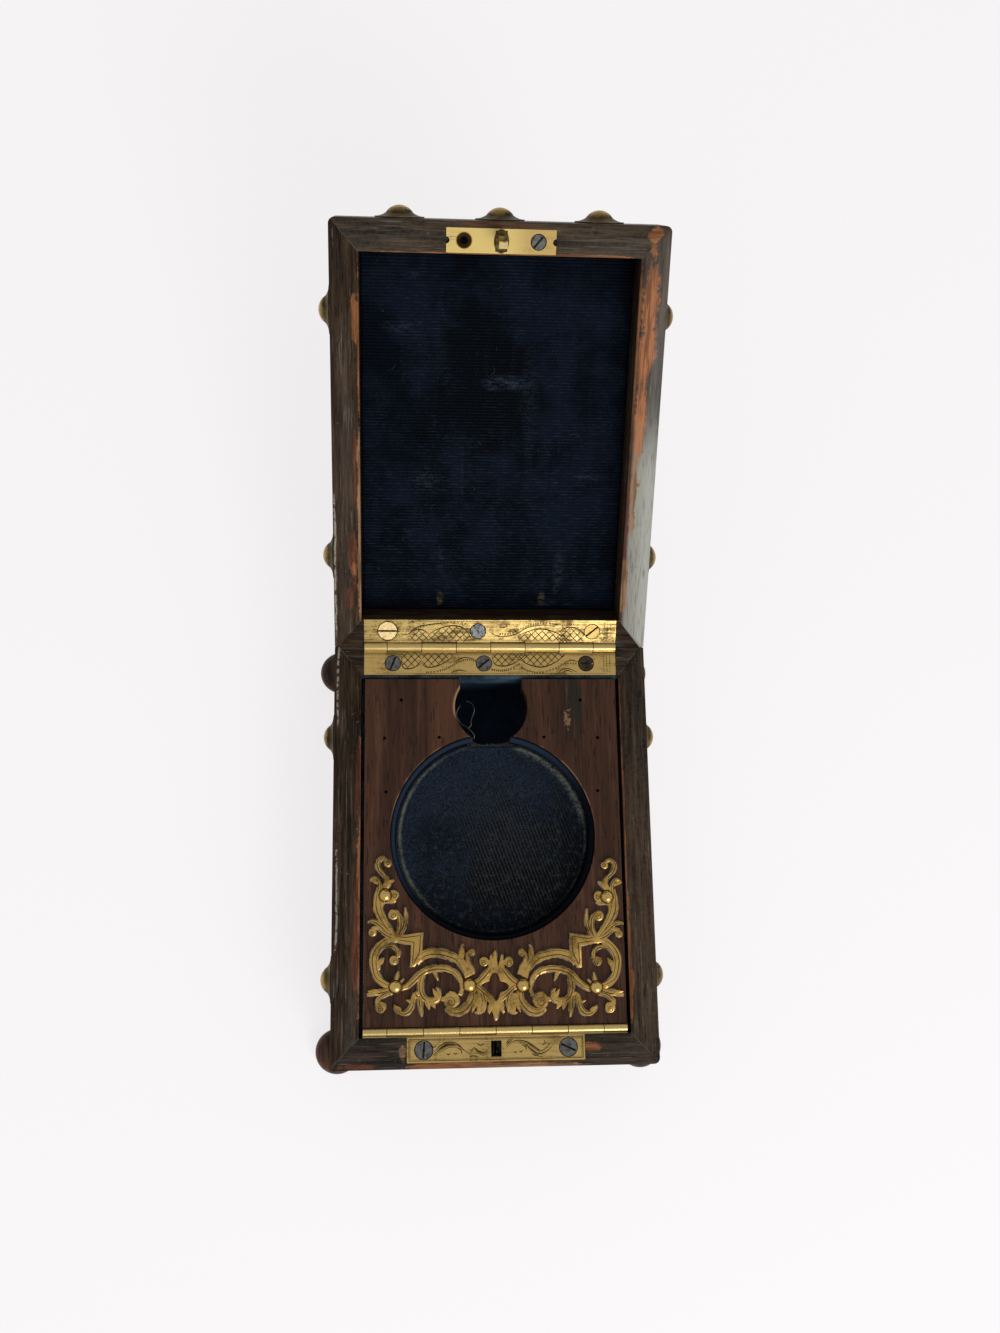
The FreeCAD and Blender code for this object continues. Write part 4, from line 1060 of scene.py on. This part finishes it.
# Volutes, each with a spiral cut in it: across, up, radius
VOLUTES = [(25.1, 17.1, 1.0), (11.2, 7.0, 1.8), (28.8, 5.6, 1.1), (3.0, 16.3, 1.1), (6.2, 18.3, 0.8),
           (25.6, 28.3, 1.1), (30.9, 24.0, 0.8), (26.9, 41.4, 0.8), (25.3, 33.3, 1.0)]
QUATREFOIL_X, QUATREFOIL_UP, QUATREFOIL_OUT = 0.2, 10.5, (5.7, 5.2)
QUATREFOIL_IN, QUATREFOIL_LOBE = 2.75, 0.75


def leaf(bm, foot, tip, width, side):
    """A small pointed leaf with a raised vein, from the panel up to the fretwork's face."""
    rows = []
    run, rise = tip[0] - foot[0], tip[1] - foot[1]
    length = math.hypot(run, rise)
    drop, floor = Z * FRET_DROP, Z * (FRET_TOP - PANEL_TOP)
    for k in range(FRET_LEAF_STEPS + 1):
        t = k / FRET_LEAF_STEPS
        half = max(0.04, width / 2 * (0.08 + 0.92 * math.sin(math.pi * (0.15 + 0.85 * t) ** 0.8)))
        across, up = foot[0] + run * t, foot[1] + rise * t
        off_x, off_y = rise / length * half, run / length * half
        left = on_fret(across - off_x, up + off_y, side)
        right = on_fret(across + off_x, up - off_y, side)
        vein = on_fret(across, up, side) + Z * FRET_VEIN * math.sin(math.pi * t)
        rows.append([bm.verts.new(p) for p in (left - floor, left - drop, vein, right - drop, right - floor)])
    skin(bm, rows)


def quatrefoil(bm):
    """The four-lobed opening in the middle of the fretwork, inside its lozenge."""
    rows = []
    floor = FRET_TOP - PANEL_TOP
    for k in range(QUATREFOIL_STEPS):
        turn = 2 * math.pi * k / QUATREFOIL_STEPS
        dx, dy = math.cos(turn), math.sin(turn)
        inner = QUATREFOIL_IN + QUATREFOIL_LOBE * math.cos(4 * turn)
        outer = 1 / (abs(dx) / QUATREFOIL_OUT[0] + abs(dy) / QUATREFOIL_OUT[1])
        row = []
        for r, drop in ((inner, floor), (inner, 0.1 * MM), (inner + 0.15, FRET_DROP), (outer, FRET_DROP),
                        (outer, floor)):
            row.append(bm.verts.new(on_fret(QUATREFOIL_X + dx * r, QUATREFOIL_UP + dy * r, -1) - Z * drop))
        rows.append(row)
    skin(bm, rows, closed=True)


def fret_leaves():
    """The small leaves of the scrolls, and the opening in the middle."""
    bm = bmesh.new()
    for side in (-1, 1):
        for foot, tip, width in FRET_LEAVES:
            leaf(bm, foot, tip, width, side)
    quatrefoil(bm)
    new_piece("fret_leaves", bm, FRET, "panel", 40)


def spiral(across, up, radius, side):
    """The turn and a half that is cut in a volute."""
    points = []
    for k in range(SPIRAL_STEPS + 1):
        t = k / SPIRAL_STEPS
        reach, turn = radius * 0.72 * (1 - 0.8 * t), 0.6 + 2 * math.pi * 1.5 * t
        points.append(on_fret(across + reach * math.cos(turn), up + reach * math.sin(turn), side))
    return points


def beside(line, off, side):
    """A line along a scroll, off its middle by a share of its width and short of its ends."""
    points = []
    for i, (across, up, width) in enumerate(line):
        a, b = line[max(i - 1, 0)], line[min(i + 1, len(line) - 1)]
        run, rise = b[0] - a[0], b[1] - a[1]
        shift = off * width / math.hypot(run, rise)
        points.append(on_fret(across - rise * shift, up + run * shift, side))
    trim = max(1, len(points) // 14)
    return points[trim:-trim]


def fret_engraving():
    """The graver's lines on volutes, scrolls and straps, and dark rings of dirt and painted shade in the
    joints round the nails.
    """
    bm = bmesh.new()
    for side in (-1, 1):
        for volute in VOLUTES:
            groove(bm, spiral(*volute, side), FRET_LINE * 0.8, Z)
        for track in FRET_TRACKS:
            line = smoothed(track)
            for off, cut in FRET_LINES:
                groove(bm, beside(line, off, side), cut, Z)
        for line in STRAP_LINES:
            groove(bm, [on_fret(*p, side) for p in line], FRET_LINE, Z, 0.7)
    for part in solids_of("dome_nails"):
        centre, head_r = head_of(part, Y, Z)
        centre.z = FRET_TOP
        head_ring(bm, centre, head_r, Y, Z)
    new_piece("fret_engraving", bm, CUT, "panel")


# Hinge leaves: lines at (along the hinge, away from its axis). The arches are filled with lozenges.
LID_LEAF = {
    "arches": [[(-21.5, 3.7), (-20.3, 4.6), (-18.8, 4.9), (-17.4, 4.4), (-16.2, 3.4)],
               [(-16.4, 3.4), (-14.4, 4.8), (-10.9, 5.9), (-8.0, 5.6), (-6.4, 4.4), (-5.1, 2.4)],
               [(7.3, 3.3), (9.9, 4.4), (12.6, 5.1), (15.7, 4.7), (18.8, 3.3), (21.0, 1.9)],
               [(17.6, 4.0), (19.2, 5.1), (20.8, 5.6), (23.2, 5.1), (25.0, 3.7)]],
    "waves": [[(-23.9, 3.6), (-21.9, 3.5), (-19.7, 5.4), (-15.8, 6.3), (-11.3, 6.7), (-6.9, 6.1)],
              [(-0.3, 4.2), (1.4, 3.2), (3.3, 2.9), (6.8, 3.7), (9.5, 5.4), (13.5, 6.2), (17.0, 5.8)],
              [(2.1, 5.9), (3.0, 5.4), (4.2, 5.8), (3.6, 6.4)], [(16.4, 6.6), (17.4, 6.2), (18.2, 6.7)],
              [(-22.0, 6.5), (-20.8, 6.9), (-19.9, 6.6)]],
    "wriggles": [[(-20.5, 4.9), (-18.0, 5.7), (-14.0, 6.5), (-10.0, 6.9), (-6.0, 6.3)],
                 [(2.2, 3.7), (5.0, 3.8), (8.0, 5.2), (11.0, 6.3), (14.0, 6.7), (18.0, 6.3), (22.0, 6.4)]],
}
BASE_LEAF = {
    "arches": [[(-23.5, 2.2), (-23.2, 5.4), (-21.0, 5.8), (-18.2, 4.4)],
               [(-18.2, 4.4), (-16.6, 5.5), (-13.1, 4.7), (-10.0, 2.6)],
               [(0.4, 2.4), (1.1, 4.6), (3.7, 5.1), (6.4, 4.2), (9.5, 2.0)],
               [(7.0, 2.8), (9.9, 4.6), (13.5, 5.4), (17.0, 4.2), (19.9, 2.0)]],
    "waves": [[(-9.8, 4.3), (-8.2, 3.2), (-6.4, 2.8), (-3.9, 3.4)],
              [(17.9, 6.9), (19.2, 6.0), (20.8, 5.8), (23.0, 6.8)], [(18.8, 6.9), (20.4, 6.3), (21.8, 6.8)],
              [(19.5, 4.2), (21.5, 3.5), (23.4, 4.0)], [(-10.5, 7.0), (-8.5, 6.2), (-6.2, 6.6)]],
    "wriggles": [[(-17.0, 6.9), (-13.5, 6.4), (-11.0, 5.5), (-8.6, 4.1), (-6.0, 3.4), (-3.9, 3.9)],
                 [(0.2, 6.1), (2.4, 6.4), (4.8, 6.1), (7.9, 4.4)],
                 [(8.1, 5.5), (10.2, 6.5), (13.2, 6.9), (17.2, 5.7), (20.0, 4.4), (23.0, 4.5)]],
}
LEAF_END_LINES = (30.2, 31.0, 31.8)
LEAF_BORDER = (-31, -15, 0, 15, 31)


def hatching(arch):
    """Crossing straight lines under an arch, down to the barrel: each a pair of ends."""
    lines = []
    low, high = arch[0][0], arch[-1][0]

    def under(x, v):
        return any(ax <= x < bx and v < ay + (by - ay) * (x - ax) / (bx - ax) - HATCH_CLEAR
                   for (ax, ay), (bx, by) in zip(arch, arch[1:]))

    count = int((high - low + 2 * HATCH_REACH) / HATCH_PITCH)
    for lean in (-HATCH_LEAN, HATCH_LEAN):
        for i in range(count):
            start = low - HATCH_REACH + i * HATCH_PITCH
            rungs = [(start + lean * t * HATCH_STEP, LEAF_FOOT + t * HATCH_STEP) for t in range(HATCH_RUNGS)]
            inside = [p for p in rungs if under(*p)]
            if len(inside) > HATCH_LEAST:
                lines.append((inside[0], inside[-1]))
    return lines


def on_lid_leaf(x, v):
    """A place on the lid's hinge leaf."""
    return lid_point(x * MM, v * MM, LID_RIM_UP)


def on_base_leaf(x, v):
    """A place on the base's hinge leaf."""
    return Vector((x * MM, LID_AXIS.y - v * MM, RIM_Z))


def leaf_engraving(name, body, at, up, drawing):
    """A hinge leaf's engraving: hatched arches, waves, rows of short strokes and border lines."""
    bm = bmesh.new()
    for arch in drawing["arches"]:
        line = smoothed(arch)
        groove(bm, [at(*p) for p in line], ARCH_CUT, up)
        for a, b in hatching(line):
            groove(bm, [at(*a), at((a[0] + b[0]) / 2, (a[1] + b[1]) / 2), at(*b)], HATCH_CUT, up, 0.6)
    for wave in drawing["waves"]:
        groove(bm, [at(*p) for p in smoothed(wave)], WAVE_CUT, up)
    for wriggle in drawing["wriggles"]:
        for i, (x, v) in enumerate(smoothed(wriggle, 9)[:-1]):
            slant = STROKE_SLANTS[i % 2]
            stroke = [at(x, v - STROKE_DOWN), at(x + slant / 2, v), at(x + slant, v + STROKE_UP)]
            groove(bm, stroke, WRIGGLE_CUT, up, 0.5)
    for x in LEAF_END_LINES:
        groove(bm, [at(x, LEAF_FOOT + 0.4), at(x, 4.0), at(x, LEAF_FAR - 0.6)], END_CUT, up, 0.6)
    groove(bm, [at(x, LEAF_FAR - 0.4) for x in LEAF_BORDER], BORDER_CUT, up, 0.6)
    new_piece(name, bm, CUT, body)


# Lock plate: lines at (along, across) from the plate's middle
LOCK_LINES = [
    [(-16.0, -1.1), (-15.2, -0.9), (-13.8, 0.3), (-12.0, 1.2), (-9.8, 1.1), (-8.0, -0.2), (-6.1, -1.5)],
    [(-15.4, -0.5), (-14.2, 0.7), (-12.4, 1.7), (-10.2, 1.6), (-8.4, 0.4)],
    [(-6.6, -1.3), (-5.6, 0.3), (-4.4, -0.5), (-3.0, -0.9), (-2.2, -0.2)],
    [(-9.7, 0.3), (-8.8, -0.1), (-8.6, -1.1)], [(-5.0, 1.4), (-3.9, 0.9), (-3.0, 1.3)],
    [(-16.3, 0.9), (-15.5, 0.7), (-14.9, 0.9)], [(-12.4, -0.9), (-11.9, -1.2), (-11.4, -0.8)],
    [(-10.6, -0.8), (-10.1, -1.1), (-9.7, -0.8)], [(-6.8, -1.9), (-5.8, -1.6), (-4.4, -1.9)],
    [(2.6, 0.2), (3.8, 1.4), (5.4, 1.9), (7.6, 1.5), (9.4, 0.4), (11.2, -0.7), (12.8, 0.3), (13.8, 1.5)],
    [(5.6, 1.4), (7.2, 0.9), (8.8, -0.3), (10.6, -1.4), (12.6, -0.8), (14.0, 0.4)],
    [(6.3, 0.8), (7.3, 0.3), (7.4, -0.6)], [(4.2, -0.8), (4.7, -1.0), (5.1, -0.7)],
    [(5.7, -0.6), (6.1, -0.9), (6.6, -0.5)],
    [(8.8, -1.3), (9.6, -1.8), (10.5, -1.7)], [(11.4, 0.6), (12.2, 1.1), (12.0, 1.7)],
    [(2.4, 1.2), (2.9, 1.7), (3.4, 2.2)], [(2.4, 0.6), (3.3, 1.5), (4.1, 2.2)],
]


def on_lock(x, y):
    """A place on the lock plate's face."""
    return Vector((x * MM, (LOCK_PLATE[0].y + LOCK_PLATE[1].y) / 2 + y * MM, LOCK_PLATE[1].z))


def lock_engraving():
    """The lock plate's engraving: scrolls, the longer ones with two shading lines, and a border."""
    bm = bmesh.new()
    for line in LOCK_LINES:
        points = smoothed(line)
        groove(bm, [on_lock(*p) for p in points], LOCK_CUT, Z, 0.25)
        if len(line) > 4:
            quarter = len(points) // 4
            for step in (1, 2):
                shade = points[quarter * step // 2:-quarter]
                shade = [on_lock(x + SHADE_RIGHT * step, y - SHADE_DOWN * step) for x, y in shade]
                groove(bm, shade, LOCK_SHADE, Z, 0.2)
    half = (LOCK_PLATE[1] - LOCK_PLATE[0]) / 2 / MM
    for inset, width in LOCK_BORDERS:
        half_x, half_y = half.x - inset, half.y - inset
        for sign in (-1, 1):
            groove(bm, [on_lock(k * half_x, sign * half_y) for k in (-1, 0, 1)], width, Z, 0.9)
        for sign in (-1, 1):
            groove(bm, [on_lock(sign * half_x, k * half_y) for k in (-1, 0, 1)], width, Z, 0.9)
    new_piece("lock_engraving", bm, CUT, "base")


turned_screws("lid_hinge_brass_screws", SCREW_BRASS)
turned_screws("strike_plate_screw", STEEL)
screw_slots("base_screw_slots", "base", BASE_SLOTS, Y, Z)
screw_slots("lid_screw_slots", "lid", LID_SLOTS, -LID_ALONG, LID_UP)
fretwork()
fret_leaves()
fret_engraving()
leaf_engraving("lid_leaf_engraving", "lid", on_lid_leaf, LID_UP, LID_LEAF)
leaf_engraving("base_leaf_engraving", "base", on_base_leaf, Z, BASE_LEAF)
lock_engraving()

# Velvet and lining cloth

NAP = (0.042, 0.056, 0.088)
TUFT = (0.2, 0.165, 0.09)
# Rubbed places of the lid velvet: across, along, half sizes, colour, strength
LID_WORN = [
    (3.0, 68.0, 5.0, 1.6, NAP, 0.8), (-22.5, 81.0, 4.5, 2.0, NAP, 0.7), (-21.0, 94.0, 3.0, 1.2, NAP, 0.5),
    (-13.3, 10.9, 0.9, 2.0, TUFT, 0.9), (13.9, 11.0, 0.8, 1.8, TUFT, 0.7), (-13.4, 21.4, 1.0, 4.0, NAP, 0.5),
    (9.0, 64.0, 2.0, 14.0, NAP, 0.3), (18.2, 20.0, 1.4, 8.0, NAP, 0.6), (17.0, 9.5, 6.0, 0.8, NAP, 0.6),
    (-17.5, 42.8, 4.0, 3.0, NAP, 0.4), (24.0, 44.0, 6.0, 1.2, NAP, 0.5), (-8.0, 46.0, 0.8, 9.0, NAP, 0.4),
]
LID_VELVET = ribbed_velvet()
PAD_VELVET = pad_velvet()
LINING = sleeve_velvet()
CLOTH = lining_cloth()
LINT = dull_stuff("lint", (0.03, 0.036, 0.045), (0.1, 0.11, 0.12))
THREAD = dull_stuff("loose_thread", (0.1, 0.1, 0.09), (0.3, 0.28, 0.24))


def lumps(u, v, scale, seed):
    """Smooth noise about zero at a place on cloth; the seed picks its pattern."""
    return noise.noise(Vector((u * scale, v * scale, seed)))


def lid_velvet():
    """The ribbed velvet board in the lid; returns its half width, its two ends and its face's height."""
    points = [v.co - LID_AXIS for v in NODES["lid_velvet_pad"].data.vertices]
    half = extent(points, X)[1]
    near, far = extent(points, LID_ALONG)
    foot, top = extent(points, LID_UP)

    def relief(u, v):
        wobble = lumps(u, v, 90, 0) * RIB_WOBBLE
        rib = math.sin(2 * math.pi * (near + v + wobble) / RIB_PITCH) * RIB_DEPTH / 2
        return rib - RIB_DEPTH + lumps(u, v, 45, 5.0) * VELVET_SWELL

    size = (2 * half, far - near, top - foot)
    rows = int(size[1] / RIB_PITCH * 6)
    origin = lid_point(-half, near, foot)
    bm = soft_board(origin, X, LID_ALONG, LID_UP, size, VELVET_EDGE, (56, rows), relief)
    piece = new_piece("lid_velvet", bm, LID_VELVET, "lid", 60)
    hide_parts("lid_velvet_pad")
    return half, near, far, top


def cushion_rise(x, y, share, reach):
    """How far the cushion's face lies above the middle of its crown."""
    r = share * CUSHION_R
    bead = math.exp(-((r - CUSHION_BEAD) / BEAD_WIDTH) ** 2) * BEAD_HEIGHT * (reach / CUSHION_R) ** 12
    fall = max(0.0, (r - CUSHION_BEAD) / (CUSHION_R - CUSHION_BEAD)) ** 2 * SKIRT_FALL
    across = TWILL_ACROSS[0] * x + TWILL_ACROSS[1] * y
    twill = math.sin(2 * math.pi * across / TWILL_PITCH) * TWILL_DEPTH
    dents = lumps(x, y, 160, 2.0) * CUSHION_DENT
    return bead - fall - CUSHION_FALL * share ** 2 + (twill + dents) * (1 - share ** 6)


def watch_cushion():
    """The round pad that the watch lies on: crowned, beaded at its edge, cut off at the bow hole."""
    low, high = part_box("watch_pad")
    flat = (BOW_Y - BOW_R) * MM - RECESS_Y
    shares = [BEAD_FROM * (i + 1) / CUSHION_RINGS for i in range(CUSHION_RINGS)]
    shares += [BEAD_FROM + (1 - BEAD_FROM) * (i + 1) / BEAD_RINGS for i in range(BEAD_RINGS)]
    bm = bmesh.new()
    centre = bm.verts.new((0, RECESS_Y, high.z))
    rings = []
    for share in shares:
        row = []
        for k in range(CUSHION_SPOKES):
            turn = 2 * math.pi * k / CUSHION_SPOKES
            dx, dy = math.cos(turn), math.sin(turn)
            reach = min(CUSHION_R, flat / dy) if dy > 0.5 else CUSHION_R
            x, y = share * reach * dx, share * reach * dy
            row.append(bm.verts.new((x, RECESS_Y + y, high.z + cushion_rise(x, y, share, reach))))
        rings.append(row)
    rings.append([bm.verts.new((v.co.x, v.co.y, low.z)) for v in rings[-1]])
    for k in range(CUSHION_SPOKES):
        n = (k + 1) % CUSHION_SPOKES
        bm.faces.new((centre, rings[0][k], rings[0][n]))
        for a, b in zip(rings, rings[1:]):
            bm.faces.new((a[k], b[k], b[n], a[n]))
    bm.faces.new(rings[-1][::-1])
    piece = new_piece("watch_cushion", bm, PAD_VELVET, "panel", 60)
    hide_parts("watch_pad")


def recess_sleeve():
    """The velvet wall of the recess, rolled over at its lip, open at the bow hole."""
    foot, lip = RECESS_LOW.z, RECESS_HIGH.z
    inner = CUSHION_R + SLEEVE_GAP
    roll = (RECESS_R - inner) / 2
    profile = [(inner, foot)]
    for k in range(9):
        turn = math.pi * k / 8
        profile.append((inner + roll * (1 - math.cos(turn)), lip - roll * (1 - math.sin(turn))))
    profile.append((RECESS_R, foot))
    bm = bmesh.new()
    rows = []
    for k in range(SLEEVE_STEPS + 1):
        turn = math.radians(BOW_NOTCH_DEG + (360 - 2 * BOW_NOTCH_DEG) * k / SLEEVE_STEPS)
        dx, dy = math.sin(turn), math.cos(turn)
        wave = lumps(dx, dy, 9, 1.0) * SLEEVE_WAVE
        rows.append([bm.verts.new((r * dx, RECESS_Y + r * dy, z + (wave if z > foot else 0.0)))
                     for r, z in profile])
    skin(bm, rows)
    piece = new_piece("recess_sleeve", bm, LINING, "panel", 50)
    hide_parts("recess_lining")


def well_linings():
    """Cloth glued over thin board on the well's floor and walls."""
    def hollows(u, v):
        return (lumps(u, v, 70, 3.0) - 1) * CLOTH_SWELL

    faces = {"floor": (Z, X, Y), "back": (-Y, X, Z), "front": (Y, X, Z), "left": (X, Y, Z),
             "right": (-X, Y, Z)}
    for part, (up, across, along) in faces.items():
        node = f"well_{part}_lining"
        low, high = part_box(node)
        span = high - low
        origin = Vector([high[i] if up[i] < 0 else low[i] for i in range(3)])
        size = (span.dot(across), span.dot(along), abs(span.dot(up)))
        bm = soft_board(origin, across, along, up, size, CLOTH_EDGE, (40, 30), hollows)
        piece = new_piece(f"well_{part}_cloth", bm, CLOTH, "base", 60)
        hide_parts(node)


def curl(rng, start, across, along, up, length):
    """A short bent hair lying on cloth."""
    course = rng.uniform(0, 2 * math.pi)
    bend = rng.uniform(-2.2, 2.2)
    points, at = [], start
    for i in range(HAIR_STEPS + 1):
        points.append(at + up * (HAIR_LIFT + HAIR_ARCH * math.sin(math.pi * i / HAIR_STEPS)))
        course += bend / HAIR_STEPS
        at = at + (across * math.cos(course) + along * math.sin(course)) * (length / HAIR_STEPS)
    return points


def lid_lint(rng, half, near, far, top):
    """Dust and hairs on the lid velvet."""
    bm = bmesh.new()
    wide, near, far = half - LINT_CLEAR, near + LINT_CLEAR, far - LINT_CLEAR
    lengths = LINT_LENGTHS + (LONG_HAIR,)
    for _ in range(LID_HAIRS):
        start = lid_point(rng.uniform(-wide, wide), rng.uniform(near, far), top)
        fibre(bm, curl(rng, start, X, LID_ALONG, LID_UP, rng.choice(lengths) * MM), LINT_R)
    new_piece("lid_lint", bm, LINT, "lid")


def cushion_lint(rng):
    """Dust on the cushion, and its frayed edge at the bow hole."""
    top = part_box("watch_pad")[1].z
    bm = bmesh.new()
    for _ in range(PAD_HAIRS):
        r, turn = CUSHION_BEAD * math.sqrt(rng.random()) * 0.93, rng.uniform(0, 2 * math.pi)
        z = top - CUSHION_FALL * (r / CUSHION_R) ** 2
        start = Vector((r * math.cos(turn), RECESS_Y + r * math.sin(turn), z))
        fibre(bm, curl(rng, start, X, Y, Z, rng.choice(LINT_LENGTHS) * MM), PAD_LINT_R)
    edge_y = (BOW_Y - BOW_R) * MM
    for i in range(FRAYS):
        x = (FRAY_HALF * (2 * i / (FRAYS - 1) - 1) + rng.uniform(-0.1, 0.1)) * MM
        start = Vector((x, edge_y - FRAY_IN, top - FRAY_DOWN))
        tip = start + Vector((rng.uniform(-0.25, 0.25), rng.uniform(0.5, 1.0), rng.uniform(0.05, 0.3))) * MM
        fibre(bm, [start, (start + tip) / 2 + Z * 0.08 * MM, tip], FRAY_R)
    new_piece("cushion_lint", bm, LINT, "panel")


def loose_threads():
    """The threads pulled out of the lining."""
    bm = bmesh.new()
    for line in LOOSE_THREADS:
        fibre(bm, [Vector(p) * MM for p in smoothed(line)], THREAD_R)
    new_piece("frayed_thread", bm, THREAD, "panel", 60)


lid_face = lid_velvet()
watch_cushion()
recess_sleeve()
well_linings()
dust = random.Random(7)
lid_lint(dust, *lid_face)
cushion_lint(dust)
loose_threads()
camera()
room()
window()
pale_floor()
